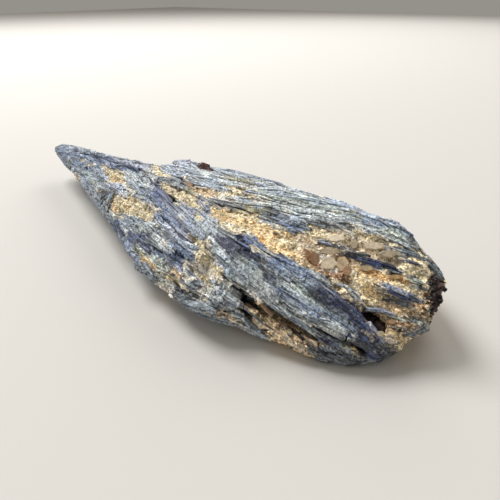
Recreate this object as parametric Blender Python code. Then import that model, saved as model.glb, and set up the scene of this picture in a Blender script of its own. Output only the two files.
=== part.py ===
"""Kyanite blade cluster: a rock of blue kyanite blades grown through quartz, with garnets set in it.

The rock is a long lens that tapers to a raised point at -X and ends in a rounded, broken face at +X.
Its display side faces -Y: a slab of long blades dives towards +X, a quartz vein lies behind it, and a
back ridge of finer blades closes the top. The core is a loft through hand-drawn cross-sections. Every
blade and every quartz lump is fused to it, because the two minerals grew through each other. A garnet
has a skin of its own, so each garnet is its own object, seated in a socket.

Metres, +Z up. The origin is the centre of the bounding box's underside, and X runs along the rock.
"""

import math
import random

import bmesh
import bpy
import numpy as np
from mathutils import Matrix, Vector

MM = 0.001
SEED = 419

# ---------------------------------------------------------------------------- driving dimensions

# Twelve lines run along the rock. A line's place in its row is its number, and a number between two
# lines is a place between them on the skin: 3.5 is halfway from the ridge down into the vein.
#   0 foot    front edge of the underside        6 crest       top of the back ridge
#   1 belly   front flank, at its widest         7 shoulder    upper back flank
#   2 edge    lower edge of the main slab        8 flank       lower back flank
#   3 ridge   upper edge of the main slab        9 heel        back edge of the underside
#   4 vein    bottom of the quartz vein         10 keel back
#   5 slope   quartz below the back ridge       11 keel front
# Each station has its x first, then (y, z) of lines 0 to 5 and of lines 6 to 11, all in millimetres.
SECTIONS = (
    (-153, ((4, 23), (3, 24), (4, 25), (5, 25), (6, 26), (7, 26)),
     ((8, 25), (9, 25), (9, 24), (8, 23), (6, 22), (4, 22))),
    (-137, ((-2, 19), (-3, 21), (-2, 24), (1, 29), (4, 28), (7, 26)),
     ((10, 25), (13, 23), (16, 20), (14, 16), (9, 14), (2, 15))),
    (-112, ((-10, 20), (-11, 23), (-8, 27), (-1, 33), (4, 31), (8, 29)),
     ((12, 26), (17, 23), (20, 19), (18, 14), (10, 11), (-2, 13))),
    (-85, ((-18, 17), (-18, 21), (-14, 30), (-6, 38), (-1, 35), (4, 32)),
     ((10, 28), (17, 23), (23, 17), (22, 12), (12, 7), (-6, 9))),
    (-58, ((-26, 14), (-27, 19), (-21, 31), (-9, 42), (-3, 37), (3, 34)),
     ((9, 29), (18, 23), (28, 17), (27, 10), (14, 4), (-12, 5))),
    (-32, ((-34, 15), (-36, 19), (-28, 32), (-10, 43), (-3, 38), (3, 36)),
     ((9, 33), (21, 29), (33, 20), (32, 9), (16, 1), (-20, 2))),
    (-8, ((-43, 12), (-44, 17), (-34, 32), (-14, 45), (-8, 43), (0, 43)),
     ((7, 44), (22, 36), (37, 23), (36, 9), (20, 0), (-28, 0))),
    (18, ((-53, 9), (-56, 14), (-39, 33), (-20, 46), (-12, 41), (-2, 43)),
     ((9, 44), (27, 35), (42, 24), (41, 8), (24, 0), (-34, 0))),
    (45, ((-58, 7), (-61, 13), (-45, 32), (-26, 43), (-16, 38), (-4, 41)),
     ((11, 42), (29, 33), (44, 24), (43, 8), (26, 0), (-38, 0))),
    (68, ((-58, 8), (-60, 14), (-49, 29), (-31, 39), (-19, 35), (-5, 40)),
     ((12, 42), (30, 34), (45, 23), (44, 8), (26, 0), (-38, 0))),
    (77, ((-56, 8), (-58, 14), (-48, 27), (-30, 36), (-19, 34), (-5, 40)),
     ((12, 42), (31, 34), (44, 23), (43, 8), (26, 0), (-38, 0))),
    (84, ((-50, 3), (-53, 10), (-47, 24), (-30, 34), (-19, 33), (-4, 40)),
     ((12, 43), (30, 35), (44, 23), (43, 8), (25, 0), (-38, 0))),
    (95, ((-48, 2), (-50, 9), (-46, 21), (-29, 31), (-19, 32), (-4, 39)),
     ((12, 44), (29, 35), (42, 24), (41, 8), (24, 0), (-36, 0))),
    (116, ((-44, 2), (-46, 6), (-46, 11), (-29, 22), (-22, 24), (-6, 36)),
     ((9, 45), (24, 35), (36, 23), (34, 9), (20, 1), (-32, 0))),
    (129, ((-39, 1), (-41, 5), (-40, 10), (-28, 18), (-21, 22), (-6, 34)),
     ((6, 42), (18, 33), (29, 23), (28, 10), (16, 3), (-27, 1))),
    (141, ((-25, 5), (-28, 9), (-27, 13), (-24, 17), (-19, 22), (-7, 32)),
     ((1, 37), (11, 31), (19, 22), (18, 12), (10, 7), (-18, 5))),
    (149, ((-14, 13), (-17, 16), (-16, 20), (-13, 24), (-10, 27), (-6, 30)),
     ((-2, 32), (3, 29), (8, 22), (7, 15), (3, 12), (-7, 10))),
)
LINE_COUNT = 12
RING_GAP = 14.0          # distance between two rings of the loft
RING_JITTER = 0.5        # how far a ring's point may stray, so no flank is a smooth sweep
FLOOR_CUT = 0.8          # what is taken off the underside for the flat face it rests on
FIT = 0.3                # gap between a garnet and its socket

# Fields of blades, laid in lanes side by side, each lane a row of blades that overlap end to end. In
# order: the x range, the line range, how many lanes, how many lines a blade crosses per millimetre of x,
# the range of lengths, of thicknesses and of how far a blade stands out of the skin, how far it rolls
# about its length in degrees, and which way its narrow end points (0 is either).
FIELDS = {
    "slab": ((-24, 139), (2.12, 3.06), 5, 0.0, (46, 84), (7, 9), (0.6, 2.8), 8, 0),
    "slab_splinters": ((-10, 136), (2.2, 2.95), 3, -0.002, (18, 44), (4, 6), (2.2, 3.4), 16, 1),
    "lobe": ((-52, 78), (0.95, 2.0), 4, -0.002, (34, 62), (7, 9), (1.2, 3.6), 12, 0),
    "lobe_splinters": ((-40, 60), (1.3, 2.7), 3, -0.008, (22, 40), (4, 6), (2.4, 3.8), 16, 1),
    "tip": ((-154, -22), (0.95, 3.7), 6, 0.0, (40, 72), (5, 7), (0.8, 2.6), 14, -1),
    "back_ridge": ((-16, 128), (5.0, 6.5), 6, 0.001, (26, 56), (6, 8), (0.4, 2.4), 14, 0),
    "back_flank": ((-30, 134), (6.7, 9.1), 5, 0.0, (40, 76), (8, 10), (1.2, 3.4), 12, 0),
    "back_tip": ((-138, -24), (5.6, 9.0), 4, 0.0, (46, 80), (6, 8), (0.4, 1.6), 12, -1),
    "front_foot": ((-84, 70), (0.1, 0.95), 2, 0.0, (30, 56), (6, 8), (0.5, 1.8), 12, 0),
    "front_base": ((82, 118), (0.2, 1.4), 2, 0.0, (20, 34), (5, 7), (0.6, 2.0), 16, 1),
    "front_corner": ((108, 141), (0.4, 2.2), 3, 0.0, (18, 30), (6, 8), (0.5, 2.0), 16, 0),
}
LANE_OVERLAP = 1.25      # a blade is this much wider than its lane
END_OVERLAP = 9.0        # how far a blade runs over the next one in its lane

# Blades that show singly: (x, line) of the two ends, width, thickness, how far it stands out, and roll
# in degrees.
SINGLE_BLADES = (
    ((84, 5.3), (124, 5.6), 7, 9, 3.4, 14),
    ((116, 6.2), (136, 6.0), 6, 8, 3.0, -10),
    ((96, 4.7), (117, 4.8), 5, 8, 2.6, 12),
    ((118, 4.3), (140, 4.5), 8, 9, 4.0, -12),
    ((112, 3.6), (134, 3.8), 6, 7, 2.8, 8),
    ((-30, 3.1), (22, 3.05), 5, 8, 2.6, 10),
    ((-22, 4.6), (14, 4.9), 6, 8, 2.4, -12),
    ((-14, 5.4), (24, 5.7), 6, 8, 2.6, 10),
    ((-17, 5.9), (12, 6.0), 8, 9, 3.4, 5),
)

# Laths that are taken away: the recess under the slab's lower edge, and the crack that runs on from it.
CUT_LATHS = (
    ((72, 1.72), (97, 1.70), 7.0, 17, 4.0, 8),
    ((86, 1.71), (108, 1.69), 7.5, 18, 4.0, -4),
    ((98, 1.70), (120, 1.64), 6.0, 16, 4.0, -8),
    ((34, 1.98), (72, 1.86), 1.8, 13, 3.0, 8),
    ((58, 3.55), (96, 3.50), 2.2, 12, 3.0, -14),
)

# Pits: x, line, radius, how far the middle of the pit is under the skin.
PITS = (
    (128.5, 3.15, 5.6, 0.8),
    (133, 2.95, 5.0, 0.4),
)

# Lumps of quartz: the x range and line range they fill, their range of radii, the range of how far under
# the skin their middles lie (as a share of the radius), and how many there are.
LUMPS = {
    "vein": ((4, 94), (3.5, 4.9), (5.5, 9.0), (0.5, 0.75), 14),
    "right_quartz": ((90, 140), (3.8, 5.9), (7.0, 11.0), (0.6, 0.8), 16),
    "front_base": ((86, 126), (0.4, 1.4), (6.0, 9.0), (0.68, 0.85), 7),
    "end_face": ((136, 147), (0.0, 11.0), (7.0, 11.0), (0.7, 0.85), 9),
    "saddle": ((-34, 6), (3.6, 5.6), (4.5, 7.0), (0.45, 0.7), 5),
    "back": ((-60, 110), (8.2, 9.2), (7.0, 11.0), (0.6, 0.8), 7),
}

# Garnets. Each is one or more crystals grown together: x, line, width across, how much of it stands out
# of the skin (0 to 1), turn in degrees.
GARNETS = {
    "garnet_top": ((8, 6.0, 10.0, 0.45, 20), (13, 5.95, 8.0, 0.35, 70)),
    "garnet_pocket": ((129.5, 3.08, 9.0, -0.12, 35), (133.5, 2.92, 8.0, 0.02, 5)),
    "garnet_end": ((147, 5.5, 9.0, 0.20, 10), (148, 4.4, 9.5, 0.18, 50), (148, 3.3, 8.5, 0.18, 80)),
}


# ---------------------------------------------------------------------------- the skin of the core

def skin_row(x):
    """The twelve (y, z) points of the cross-section at x, blended between the two nearest stations."""
    stations = [row[0] for row in SECTIONS]
    lines = np.array([row[1] + row[2] for row in SECTIONS], dtype=float)
    return [
        (float(np.interp(x, stations, lines[:, k, 0])), float(np.interp(x, stations, lines[:, k, 1])))
        for k in range(LINE_COUNT)
    ]


def skin(x, line):
    """A point of the skin, in metres."""
    row = skin_row(x)
    low = math.floor(line)
    part = line - low
    (y0, z0), (y1, z1) = row[low % LINE_COUNT], row[(low + 1) % LINE_COUNT]
    return Vector((x, y0 + (y1 - y0) * part, z0 + (z1 - z0) * part)) * MM


def skin_normal(x, line):
    """The outward direction of the skin."""
    x = max(min(x, SECTIONS[-1][0] - 3), SECTIONS[0][0] + 3)
    along = skin(x + 3, line) - skin(x - 3, line)
    across = skin(x, line + 0.35) - skin(x, line - 0.35)
    normal = across.cross(along).normalized()
    middle = sum((skin(x, k) for k in range(LINE_COUNT)), Vector()) / LINE_COUNT
    if normal.dot(skin(x, line) - middle) < 0:
        normal.negate()
    return normal


# ---------------------------------------------------------------------------- building blocks

def new_object(name, bm, collection):
    """Turn a bmesh into an object of triangles, which can't warp, with its faces outward."""
    bmesh.ops.triangulate(bm, faces=bm.faces)
    bmesh.ops.recalc_face_normals(bm, faces=bm.faces)
    if bm.calc_volume(signed=True) < 0:
        bmesh.ops.reverse_faces(bm, faces=bm.faces)
    mesh = bpy.data.meshes.new(name)
    bm.to_mesh(mesh)
    bm.free()
    made = bpy.data.objects.new(name, mesh)
    collection.objects.link(made)
    return made


def ring_stations():
    """Every station, and as many rings between two stations as RING_GAP asks for."""
    stations = [row[0] for row in SECTIONS]
    rings = []
    for near, far in zip(stations[:-1], stations[1:]):
        steps = max(1, round((far - near) / RING_GAP))
        rings += [near + (far - near) * step / steps for step in range(steps)]
    return rings + stations[-1:]


def add_core(bm, rng):
    """Loft the core: a ring of twelve points at each ring station, joined to the next and capped."""
    rings = []
    for x in ring_stations():
        ring = []
        for y, z in skin_row(x):
            stray = [rng.uniform(-RING_JITTER, RING_JITTER) for _ in range(3)]
            ring.append(bm.verts.new(Vector((x + stray[0], y + stray[1], max(z + stray[2], 0.0))) * MM))
        rings.append(ring)
    for near, far in zip(rings[:-1], rings[1:]):
        for k in range(LINE_COUNT):
            after = (k + 1) % LINE_COUNT
            bm.faces.new((near[k], near[after], far[after], far[k]))
    bm.faces.new(rings[0])
    bm.faces.new(reversed(rings[-1]))


def frame_of(start, end, normal):
    """A matrix whose X runs from start to end and whose Z leans as near to the normal as it can."""
    along = (end - start).normalized()
    side = normal.cross(along).normalized()
    up = along.cross(side)
    return Matrix((
        (along.x, side.x, up.x, 0),
        (along.y, side.y, up.y, 0),
        (along.z, side.z, up.z, 0),
        (0, 0, 0, 1),
    ))


def add_blade(bm, start, end, normal, width, thick, lift, roll, rng):
    """A lath with a narrower top, one blunt end and one end that narrows and slopes away like a chisel."""
    verts = bmesh.ops.create_cube(bm, size=1.0)["verts"]
    length = (end - start).length
    narrow = rng.uniform(0.35, 0.75)
    slope = min(rng.uniform(0.3, 1.6) * thick, 0.3 * length)
    bevel = rng.uniform(0.62, 0.85)
    for vert in verts:
        far = vert.co.x > 0
        top = vert.co.z > 0
        vert.co.y *= width * (narrow if far else 1.0) * (bevel if top else 1.0)
        vert.co.x *= length
        vert.co.z *= thick
        if top:
            vert.co.x -= slope if far else -0.3 * slope
    place = frame_of(start, end, normal)
    place = place @ Matrix.Rotation(math.radians(roll), 4, "X")
    place.translation = (start + end) / 2 + normal * (lift - thick / 2)
    bmesh.ops.transform(bm, matrix=place, verts=verts)


def add_lump(bm, centre, radius, rng):
    """A broken lump: a low sphere, squashed, with every corner moved a little."""
    verts = bmesh.ops.create_icosphere(bm, subdivisions=1, radius=radius)["verts"]
    squash = [rng.uniform(0.7, 1.15) for _ in range(3)]
    turn = Matrix.Rotation(rng.uniform(0, math.tau), 3, "Z")
    turn = turn @ Matrix.Rotation(rng.uniform(0, math.tau), 3, "X")
    for vert in verts:
        stray = Vector([rng.uniform(-0.1, 0.1) * radius for _ in range(3)])
        vert.co = centre + turn @ Vector([c * s for c, s in zip(vert.co, squash)]) + stray


def field_blades(name, rng):
    """Lay one field: lanes side by side, and in each lane one blade after another until the lane is full."""
    blades = []
    x_range, line_range, lanes, drift, lengths, thicks, lifts, roll, narrow_end = FIELDS[name]
    step = (line_range[1] - line_range[0]) / lanes
    for lane in range(lanes):
        line = line_range[0] + step * (lane + 0.5)
        x = x_range[0] + rng.uniform(0, 12)
        while x < x_range[1] - 12:
            x_end = min(x + rng.uniform(*lengths), x_range[1] - rng.uniform(0, 5))
            here = line + rng.uniform(-0.12, 0.12) * step
            there = here + drift * (x_end - x)
            start, end = skin(x, here), skin(x_end, there)
            middle = (x + x_end) / 2, (here + there) / 2
            width = (skin(middle[0], middle[1] + step / 2) - skin(middle[0], middle[1] - step / 2)).length
            width = min(max(width * LANE_OVERLAP, 3 * MM), 12 * MM)
            if narrow_end == -1 or (narrow_end == 0 and rng.random() < 0.5):
                start, end = end, start
            blade = bmesh.new()
            add_blade(blade, start, end, skin_normal(*middle), width, rng.uniform(*thicks) * MM,
                      rng.uniform(*lifts) * MM, rng.uniform(-roll, roll), rng)
            blades.append(blade)
            x = x_end - END_OVERLAP
    return blades


def lath(row, rng):
    """One blade, or one cut, given by a row of numbers."""
    start, end, width, thick, lift, roll = row
    middle = (start[0] + end[0]) / 2, (start[1] + end[1]) / 2
    bm = bmesh.new()
    add_blade(bm, skin(*start), skin(*end), skin_normal(*middle), width * MM, thick * MM, lift * MM,
              roll, rng)
    return bm


def lump(x, line, radius, depth, rng):
    """One lump whose middle lies a depth under the skin. All lengths are in millimetres."""
    bm = bmesh.new()
    add_lump(bm, skin(x, line) - skin_normal(x, line) * depth * MM, radius * MM, rng)
    return bm


def add_crystal(bm, row, grow):
    """A garnet crystal: a cube with a low pyramid raised on each face, which makes twelve diamond faces."""
    x, line, across, out, turn = row
    verts = bmesh.ops.create_cube(bm, size=1.0)["verts"]
    faces = list({face for vert in verts for face in vert.link_faces})
    centres = bmesh.ops.poke(bm, faces=faces)["verts"]
    for vert in centres:
        vert.co *= 2.0
    face_distance = across / 2 * math.sqrt(0.5)
    size = across / 2 * (face_distance + grow) / face_distance * MM
    place = Matrix.Translation(skin(x, line) + skin_normal(x, line) * (out - 0.5) * across * MM)
    place = place @ Matrix.Rotation(math.radians(turn), 4, Vector((1, 2, 3)).normalized())
    bmesh.ops.transform(bm, matrix=place @ Matrix.Scale(size, 4), verts=verts + centres)


def garnet(name, grow, collection):
    """The crystals of one garnet joined in one body, or with grow above zero the socket it sits in."""
    made = None
    for number, row in enumerate(GARNETS[name]):
        bm = bmesh.new()
        add_crystal(bm, row, grow)
        bmesh.ops.dissolve_limit(bm, angle_limit=math.radians(1), verts=bm.verts, edges=bm.edges)
        label = name if number == 0 and grow == 0 else f"{name}_{number}_{'socket' if grow else 'crystal'}"
        crystal = new_object(label, bm, collection if number == 0 else tools)
        if made:
            boolean(made, crystal, "UNION")
        else:
            made = crystal
    return made


def boolean(target, tool, operation):
    """Cut or join one object with another and keep the result as the target's mesh."""
    step = target.modifiers.new(operation, "BOOLEAN")
    step.object = tool
    step.operation = operation
    # EXACT drops the whole rock at one of the many joins, and every shape here is closed, as MANIFOLD asks.
    step.solver = "MANIFOLD"
    graph = bpy.context.evaluated_depsgraph_get()
    mesh = bpy.data.meshes.new_from_object(target.evaluated_get(graph))
    target.modifiers.clear()
    target.data = mesh


def boolean_each(target, pieces, operation):
    """Cut or join closed shapes one after another, so that no step meets a shape that crosses itself."""
    for bm in pieces:
        tool = new_object("piece", bm, tools)
        boolean(target, tool, operation)
        bpy.data.objects.remove(tool, do_unlink=True)


def fill_voids(target):
    """Blades that meet can close off a bubble between them: keep the outer skin and fill every bubble."""
    bm = bmesh.new()
    bm.from_mesh(target.data)
    waiting = set(bm.faces)
    shells = []
    while waiting:
        shell = [waiting.pop()]
        for face in shell:
            for edge in face.edges:
                for other in edge.link_faces:
                    if other in waiting:
                        waiting.remove(other)
                        shell.append(other)
        shells.append(shell)
    outer = max(shells, key=lambda shell: sum(face.calc_area() for face in shell))
    spare = [face for shell in shells if shell is not outer for face in shell]
    print(target.name, "bubbles filled:", len(shells) - 1)
    bmesh.ops.delete(bm, geom=spare, context="FACES")
    bm.to_mesh(target.data)
    bm.free()


def material(name, colour, roughness, coat=0.0):
    made = bpy.data.materials.new(name)
    made.use_nodes = True
    shader = made.node_tree.nodes["Principled BSDF"]
    shader.inputs["Base Color"].default_value = (*colour, 1.0)
    shader.inputs["Roughness"].default_value = roughness
    shader.inputs["Metallic"].default_value = 0.0
    shader.inputs["Coat Weight"].default_value = coat
    return made


# ---------------------------------------------------------------------------- the model

for old in list(bpy.data.objects):
    bpy.data.objects.remove(old, do_unlink=True)

parts = bpy.data.collections.new("kyanite_blade_cluster")
tools = bpy.data.collections.new("cutters")
bpy.context.scene.collection.children.link(parts)
bpy.context.scene.collection.children.link(tools)
chance = random.Random(SEED)

bm = bmesh.new()
add_core(bm, chance)
rock = new_object("kyanite_rock", bm, parts)

# Everything that grew out of the core, fused to it.
growth = []
for field in FIELDS:
    growth += field_blades(field, chance)
growth += [lath(row, chance) for row in SINGLE_BLADES]
for x_range, line_range, radii, depths, count in LUMPS.values():
    for number in range(count):
        x = x_range[0] + (x_range[1] - x_range[0]) * (number + chance.random()) / count
        line = line_range[0] + (line_range[1] - line_range[0]) * ((number * 0.618034) % 1.0)
        radius = chance.uniform(*radii)
        growth.append(lump(x, line, radius, radius * chance.uniform(*depths), chance))
boolean_each(rock, growth, "UNION")

# The recess, the crack and the pits.
hollows = [lath(row, chance) for row in CUT_LATHS]
hollows += [lump(x, line, radius, depth, chance) for x, line, radius, depth in PITS]
boolean_each(rock, hollows, "DIFFERENCE")
print("pieces fused", len(growth), "hollows cut", len(hollows))

# The flat face it rests on.
bm = bmesh.new()
bmesh.ops.create_cube(bm, size=1.0)
bmesh.ops.scale(bm, vec=Vector((0.5, 0.5, 0.1)), verts=bm.verts)
bmesh.ops.translate(bm, vec=Vector((0, 0, FLOOR_CUT * MM - 0.05)), verts=bm.verts)
floor_cut = new_object("floor_cut", bm, tools)
boolean(rock, floor_cut, "DIFFERENCE")

fill_voids(rock)

garnet_skin = material("garnet_skin", (0.055, 0.012, 0.010), 0.32)
for name in GARNETS:
    crystal = garnet(name, 0, parts)
    crystal.data.materials.clear()
    crystal.data.materials.append(garnet_skin)
    socket = garnet(name, FIT, tools)
    boolean(rock, socket, "DIFFERENCE")
    fill_voids(rock)

rock.data.materials.clear()
rock.data.materials.append(material("kyanite_blue", (0.20, 0.25, 0.33), 0.38))

for tool in tools.objects:
    tool.hide_render = True
    tool.display_type = "WIRE"

# Put the middle of the underside at the origin.
corners = [vert.co for piece in parts.objects for vert in piece.data.vertices]
low = Vector([min(c[k] for c in corners) for k in range(3)])
high = Vector([max(c[k] for c in corners) for k in range(3)])
shift = Vector((-(low.x + high.x) / 2, -(low.y + high.y) / 2, -low.z))
for piece in list(parts.objects) + list(tools.objects):
    piece.data.transform(Matrix.Translation(shift))
print("size", [round(v / MM, 1) for v in high - low], "shift", [round(v / MM, 2) for v in shift])
print("triangles", sum(len(p.vertices) - 2 for p in rock.data.polygons))
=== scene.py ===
# %% [markdown]
# # Kyanite blade cluster
# The rock is a long lens of blue kyanite blades grown through sugary quartz, with a few garnets set in it.
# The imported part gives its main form. This lesson dresses that form: a finer rock surface, thousands of
# blades and quartz grains that lie on it, and the garnets, each with its own material.

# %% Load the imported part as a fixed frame
import math
from collections import namedtuple

import bmesh
import bpy
import numpy as np
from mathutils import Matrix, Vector
from mathutils.bvhtree import BVHTree


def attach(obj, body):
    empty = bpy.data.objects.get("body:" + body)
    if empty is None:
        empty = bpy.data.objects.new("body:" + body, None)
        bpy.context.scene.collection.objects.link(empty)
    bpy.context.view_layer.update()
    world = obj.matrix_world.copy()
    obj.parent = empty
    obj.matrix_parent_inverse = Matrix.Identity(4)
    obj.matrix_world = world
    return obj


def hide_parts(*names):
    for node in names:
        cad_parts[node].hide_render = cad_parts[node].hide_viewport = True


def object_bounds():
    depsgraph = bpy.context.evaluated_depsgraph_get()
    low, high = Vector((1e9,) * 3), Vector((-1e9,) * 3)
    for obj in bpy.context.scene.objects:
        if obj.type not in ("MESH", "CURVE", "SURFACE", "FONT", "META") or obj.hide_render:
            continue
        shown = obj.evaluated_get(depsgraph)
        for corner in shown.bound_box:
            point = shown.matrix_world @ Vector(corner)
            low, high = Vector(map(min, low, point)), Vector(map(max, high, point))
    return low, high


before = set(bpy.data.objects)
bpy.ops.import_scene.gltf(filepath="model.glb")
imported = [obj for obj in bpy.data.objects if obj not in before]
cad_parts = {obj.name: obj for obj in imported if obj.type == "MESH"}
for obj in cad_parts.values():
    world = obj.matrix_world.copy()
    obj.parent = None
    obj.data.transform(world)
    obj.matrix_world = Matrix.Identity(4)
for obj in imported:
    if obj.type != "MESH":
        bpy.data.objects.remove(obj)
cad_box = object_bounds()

MM = 0.001
print("nodes", sorted(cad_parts), "box", [tuple(round(c, 4) for c in corner) for corner in cad_box])

# %% [markdown]
# ## Camera
# A specimen is looked at from a little above, with its long side crossing the view at a slant. The camera
# stands close, so the near end looks larger. Its place and direction are the driving values: the rest of the
# script asks this camera which spot of the rock a pixel falls on, so every mark has one true place in space.

# %% Camera
IMAGE_SIDE = 500            # pixels, both ways
FOCAL_PX = 370.0
SENSOR_MM = 36.0
NEAR_CLIP = 0.005
CAMERA_AT = Vector((0.15361, -0.13710, 0.1302))
LOOK_DOWN = math.radians(35.0)
LOOK_TURN = math.radians(35.7)

RIGHT = Vector((math.cos(LOOK_TURN), math.sin(LOOK_TURN), 0.0))
LEVEL = Vector((-math.sin(LOOK_TURN), math.cos(LOOK_TURN), 0.0))
FORWARD = LEVEL * math.cos(LOOK_DOWN) - Vector((0, 0, 1)) * math.sin(LOOK_DOWN)
UP = RIGHT.cross(FORWARD)

camera = bpy.data.objects.new("camera", bpy.data.cameras.new("camera"))
bpy.context.scene.collection.objects.link(camera)
camera.location = CAMERA_AT
camera.rotation_euler = FORWARD.to_track_quat("-Z", "Y").to_euler()
camera.data.sensor_width = SENSOR_MM
camera.data.lens = FOCAL_PX / IMAGE_SIDE * SENSOR_MM
camera.data.clip_start = NEAR_CLIP
bpy.context.scene.camera = camera
bpy.context.scene.view_settings.view_transform = "Standard"
print("lens", round(camera.data.lens, 2), "mm")

# %% [markdown]
# ## Finding places on the rock
# A point of the rock has three "sight" numbers: the pixel it falls on and its depth from the camera. A spot
# named by its pixel gets its depth from a ray cast onto the rock, so it lies on the stone itself. Distances
# between a point and such a spot are then measured in pixels, with depth counted less, because a patch of
# mineral usually runs on over the edge of the ledge that it is seen on.

# %% Rays onto the rock
ROCK_MIDDLE = Vector((0, 0, 0.03))
SHORTEST_REACH = 0.1        # metres from the camera, for a ray that just misses the rock


def merged_copy(name):
    """A bmesh of a CAD node with its loose triangles joined at their shared corners."""
    bm = bmesh.new()
    bm.from_mesh(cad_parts[name].data)
    bmesh.ops.remove_doubles(bm, verts=bm.verts, dist=1e-6)
    return bm


rock_form = merged_copy("kyanite_rock")
rock_tree = BVHTree.FromBMesh(rock_form)


def seen_spot(u, v):
    """The rock's point under pixel (u, v), or its nearest point if the ray just misses the rock."""
    ray = FORWARD * FOCAL_PX + RIGHT * (u - IMAGE_SIDE / 2) - UP * (v - IMAGE_SIDE / 2)
    ray.normalize()
    hit = rock_tree.ray_cast(CAMERA_AT, ray)[0]
    if hit is None:
        reach = max(SHORTEST_REACH, (ROCK_MIDDLE - CAMERA_AT).dot(ray))
        hit = rock_tree.find_nearest(CAMERA_AT + ray * reach)[0]
    return np.array(hit)


def on_surface(place):
    """The rock's nearest point to a place in millimetres."""
    return np.array(rock_tree.find_nearest(Vector(place) * MM)[0])


print("tip at", [round(c, 4) for c in seen_spot(56, 149)])

# %% Sight numbers
DEPTH_WEIGHT = 0.4          # pixels for each millimetre of depth


def depth_of(points):
    """How far in front of the camera each point is, in metres."""
    return (np.asarray(points) - np.array(CAMERA_AT)) @ np.array(FORWARD)


def sight(points):
    """Pixel u, pixel v and weighted depth of each point."""
    offset = np.asarray(points) - np.array(CAMERA_AT)
    depth = depth_of(points)
    u = IMAGE_SIDE / 2 + FOCAL_PX * (offset @ np.array(RIGHT)) / depth
    v = IMAGE_SIDE / 2 - FOCAL_PX * (offset @ np.array(UP)) / depth
    return np.stack([u, v, depth / MM * DEPTH_WEIGHT], axis=-1)


print("sight of the middle", sight(seen_spot(300, 250)).round(1))

# %% [markdown]
# ## Minerals and their colours
# The blue of kyanite runs from pale steel to navy, and the quartz between its blades from white to rusty
# amber. Each kind of mineral is one row: what it grows as, and the three colours that its blades or grains
# take. A short list of named kinds keeps the whole rock in one family of colours.

# %% Minerals and their colours
def srgb(*rgb):
    """Linear colour of an 8-bit display colour."""
    part = np.array(rgb, float) / 255.0
    return np.where(part <= 0.04045, part / 12.92, ((part + 0.055) / 1.055) ** 2.4)


# What each kind is, kyanite blades, quartz grains or an open gap, and its three colours, commonest first.
# The gap's near-black colours are painted shadow.
MINERALS = {
    "sky": ("kyanite", ((150, 161, 176), (172, 181, 190), (126, 139, 158))),
    "lilac": ("kyanite", ((152, 154, 172), (172, 174, 188), (122, 125, 148))),
    "blue": ("kyanite", ((96, 113, 142), (118, 134, 160), (74, 90, 122))),
    "deep": ("kyanite", ((54, 68, 108), (76, 92, 130), (38, 48, 78))),
    "navy": ("kyanite", ((34, 42, 70), (52, 62, 94), (22, 27, 44))),
    "steel": ("kyanite", ((122, 134, 148), (144, 154, 164), (98, 110, 126))),
    "slate": ("kyanite", ((94, 102, 110), (114, 122, 126), (70, 78, 88))),
    "charcoal": ("kyanite", ((60, 64, 70), (86, 90, 94), (42, 44, 48))),
    "silver": ("kyanite", ((180, 186, 188), (202, 204, 200), (156, 164, 170))),
    "sage": ("kyanite", ((160, 168, 158), (180, 184, 170), (138, 147, 140))),
    "olive": ("kyanite", ((130, 124, 86), (152, 144, 106), (104, 98, 66))),
    "white": ("quartz", ((222, 216, 204), (206, 200, 190), (234, 229, 220))),
    "buff": ("quartz", ((208, 190, 160), (218, 204, 178), (194, 174, 142))),
    "cream": ("quartz", ((215, 200, 164), (224, 212, 182), (196, 180, 142))),
    "amber": ("quartz", ((208, 184, 138), (220, 198, 156), (188, 162, 114))),
    "rust": ("quartz", ((172, 140, 92), (148, 118, 76), (192, 162, 112))),
    "tan": ("quartz", ((168, 146, 114), (188, 168, 136), (146, 124, 94))),
    "smoke": ("quartz", ((130, 98, 68), (148, 116, 86), (106, 80, 56))),
    "umber": ("quartz", ((74, 58, 42), (96, 76, 54), (50, 40, 30))),
    # painted shadow for cracks and overhangs
    "gap": ("gap", ((22, 20, 18), (30, 27, 24), (16, 15, 14))),
}
KINDS = list(MINERALS)
IS_KYANITE = np.array([MINERALS[kind][0] == "kyanite" for kind in KINDS])
IS_QUARTZ = np.array([MINERALS[kind][0] == "quartz" for kind in KINDS])
COLOURS = np.array([[srgb(*rgb) for rgb in MINERALS[kind][1]] for kind in KINDS])
print(len(KINDS), "kinds of mineral,", int(IS_KYANITE.sum()), "of them kyanite")

# %% [markdown]
# ## Colours in bounced light
# Light that bounces between grains deepens their colours, and stone under its own small shadows looks darker
# than it is. So the quartz starts a little greyer, the kyanite a little bluer, and both are lifted. The lift
# stops at the brightest that a mineral can be.

# %% Colours in bounced light
QUARTZ_GREYER = 0.12
KYANITE_CAST = (0.95, 0.985, 1.015)
KYANITE_LIFT, QUARTZ_LIFT = 1.55, 2.0
BRIGHTEST = 0.79


def in_bounced_light(colours):
    kyanite_rows = IS_KYANITE[:, None, None]
    greyer = np.where(kyanite_rows, 0.0, QUARTZ_GREYER)
    colours = colours * (1 - greyer) + colours.mean(axis=2, keepdims=True) * greyer
    colours = colours * np.where(kyanite_rows, KYANITE_CAST, 1.0)
    lift = np.where(kyanite_rows, KYANITE_LIFT, QUARTZ_LIFT)
    return colours * np.minimum(lift, BRIGHTEST / colours.max(axis=2, keepdims=True))


COLOURS = in_bounced_light(COLOURS)
print("navy", COLOURS[KINDS.index("navy"), 0].round(3), "white", COLOURS[KINDS.index("white"), 0].round(3))
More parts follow.
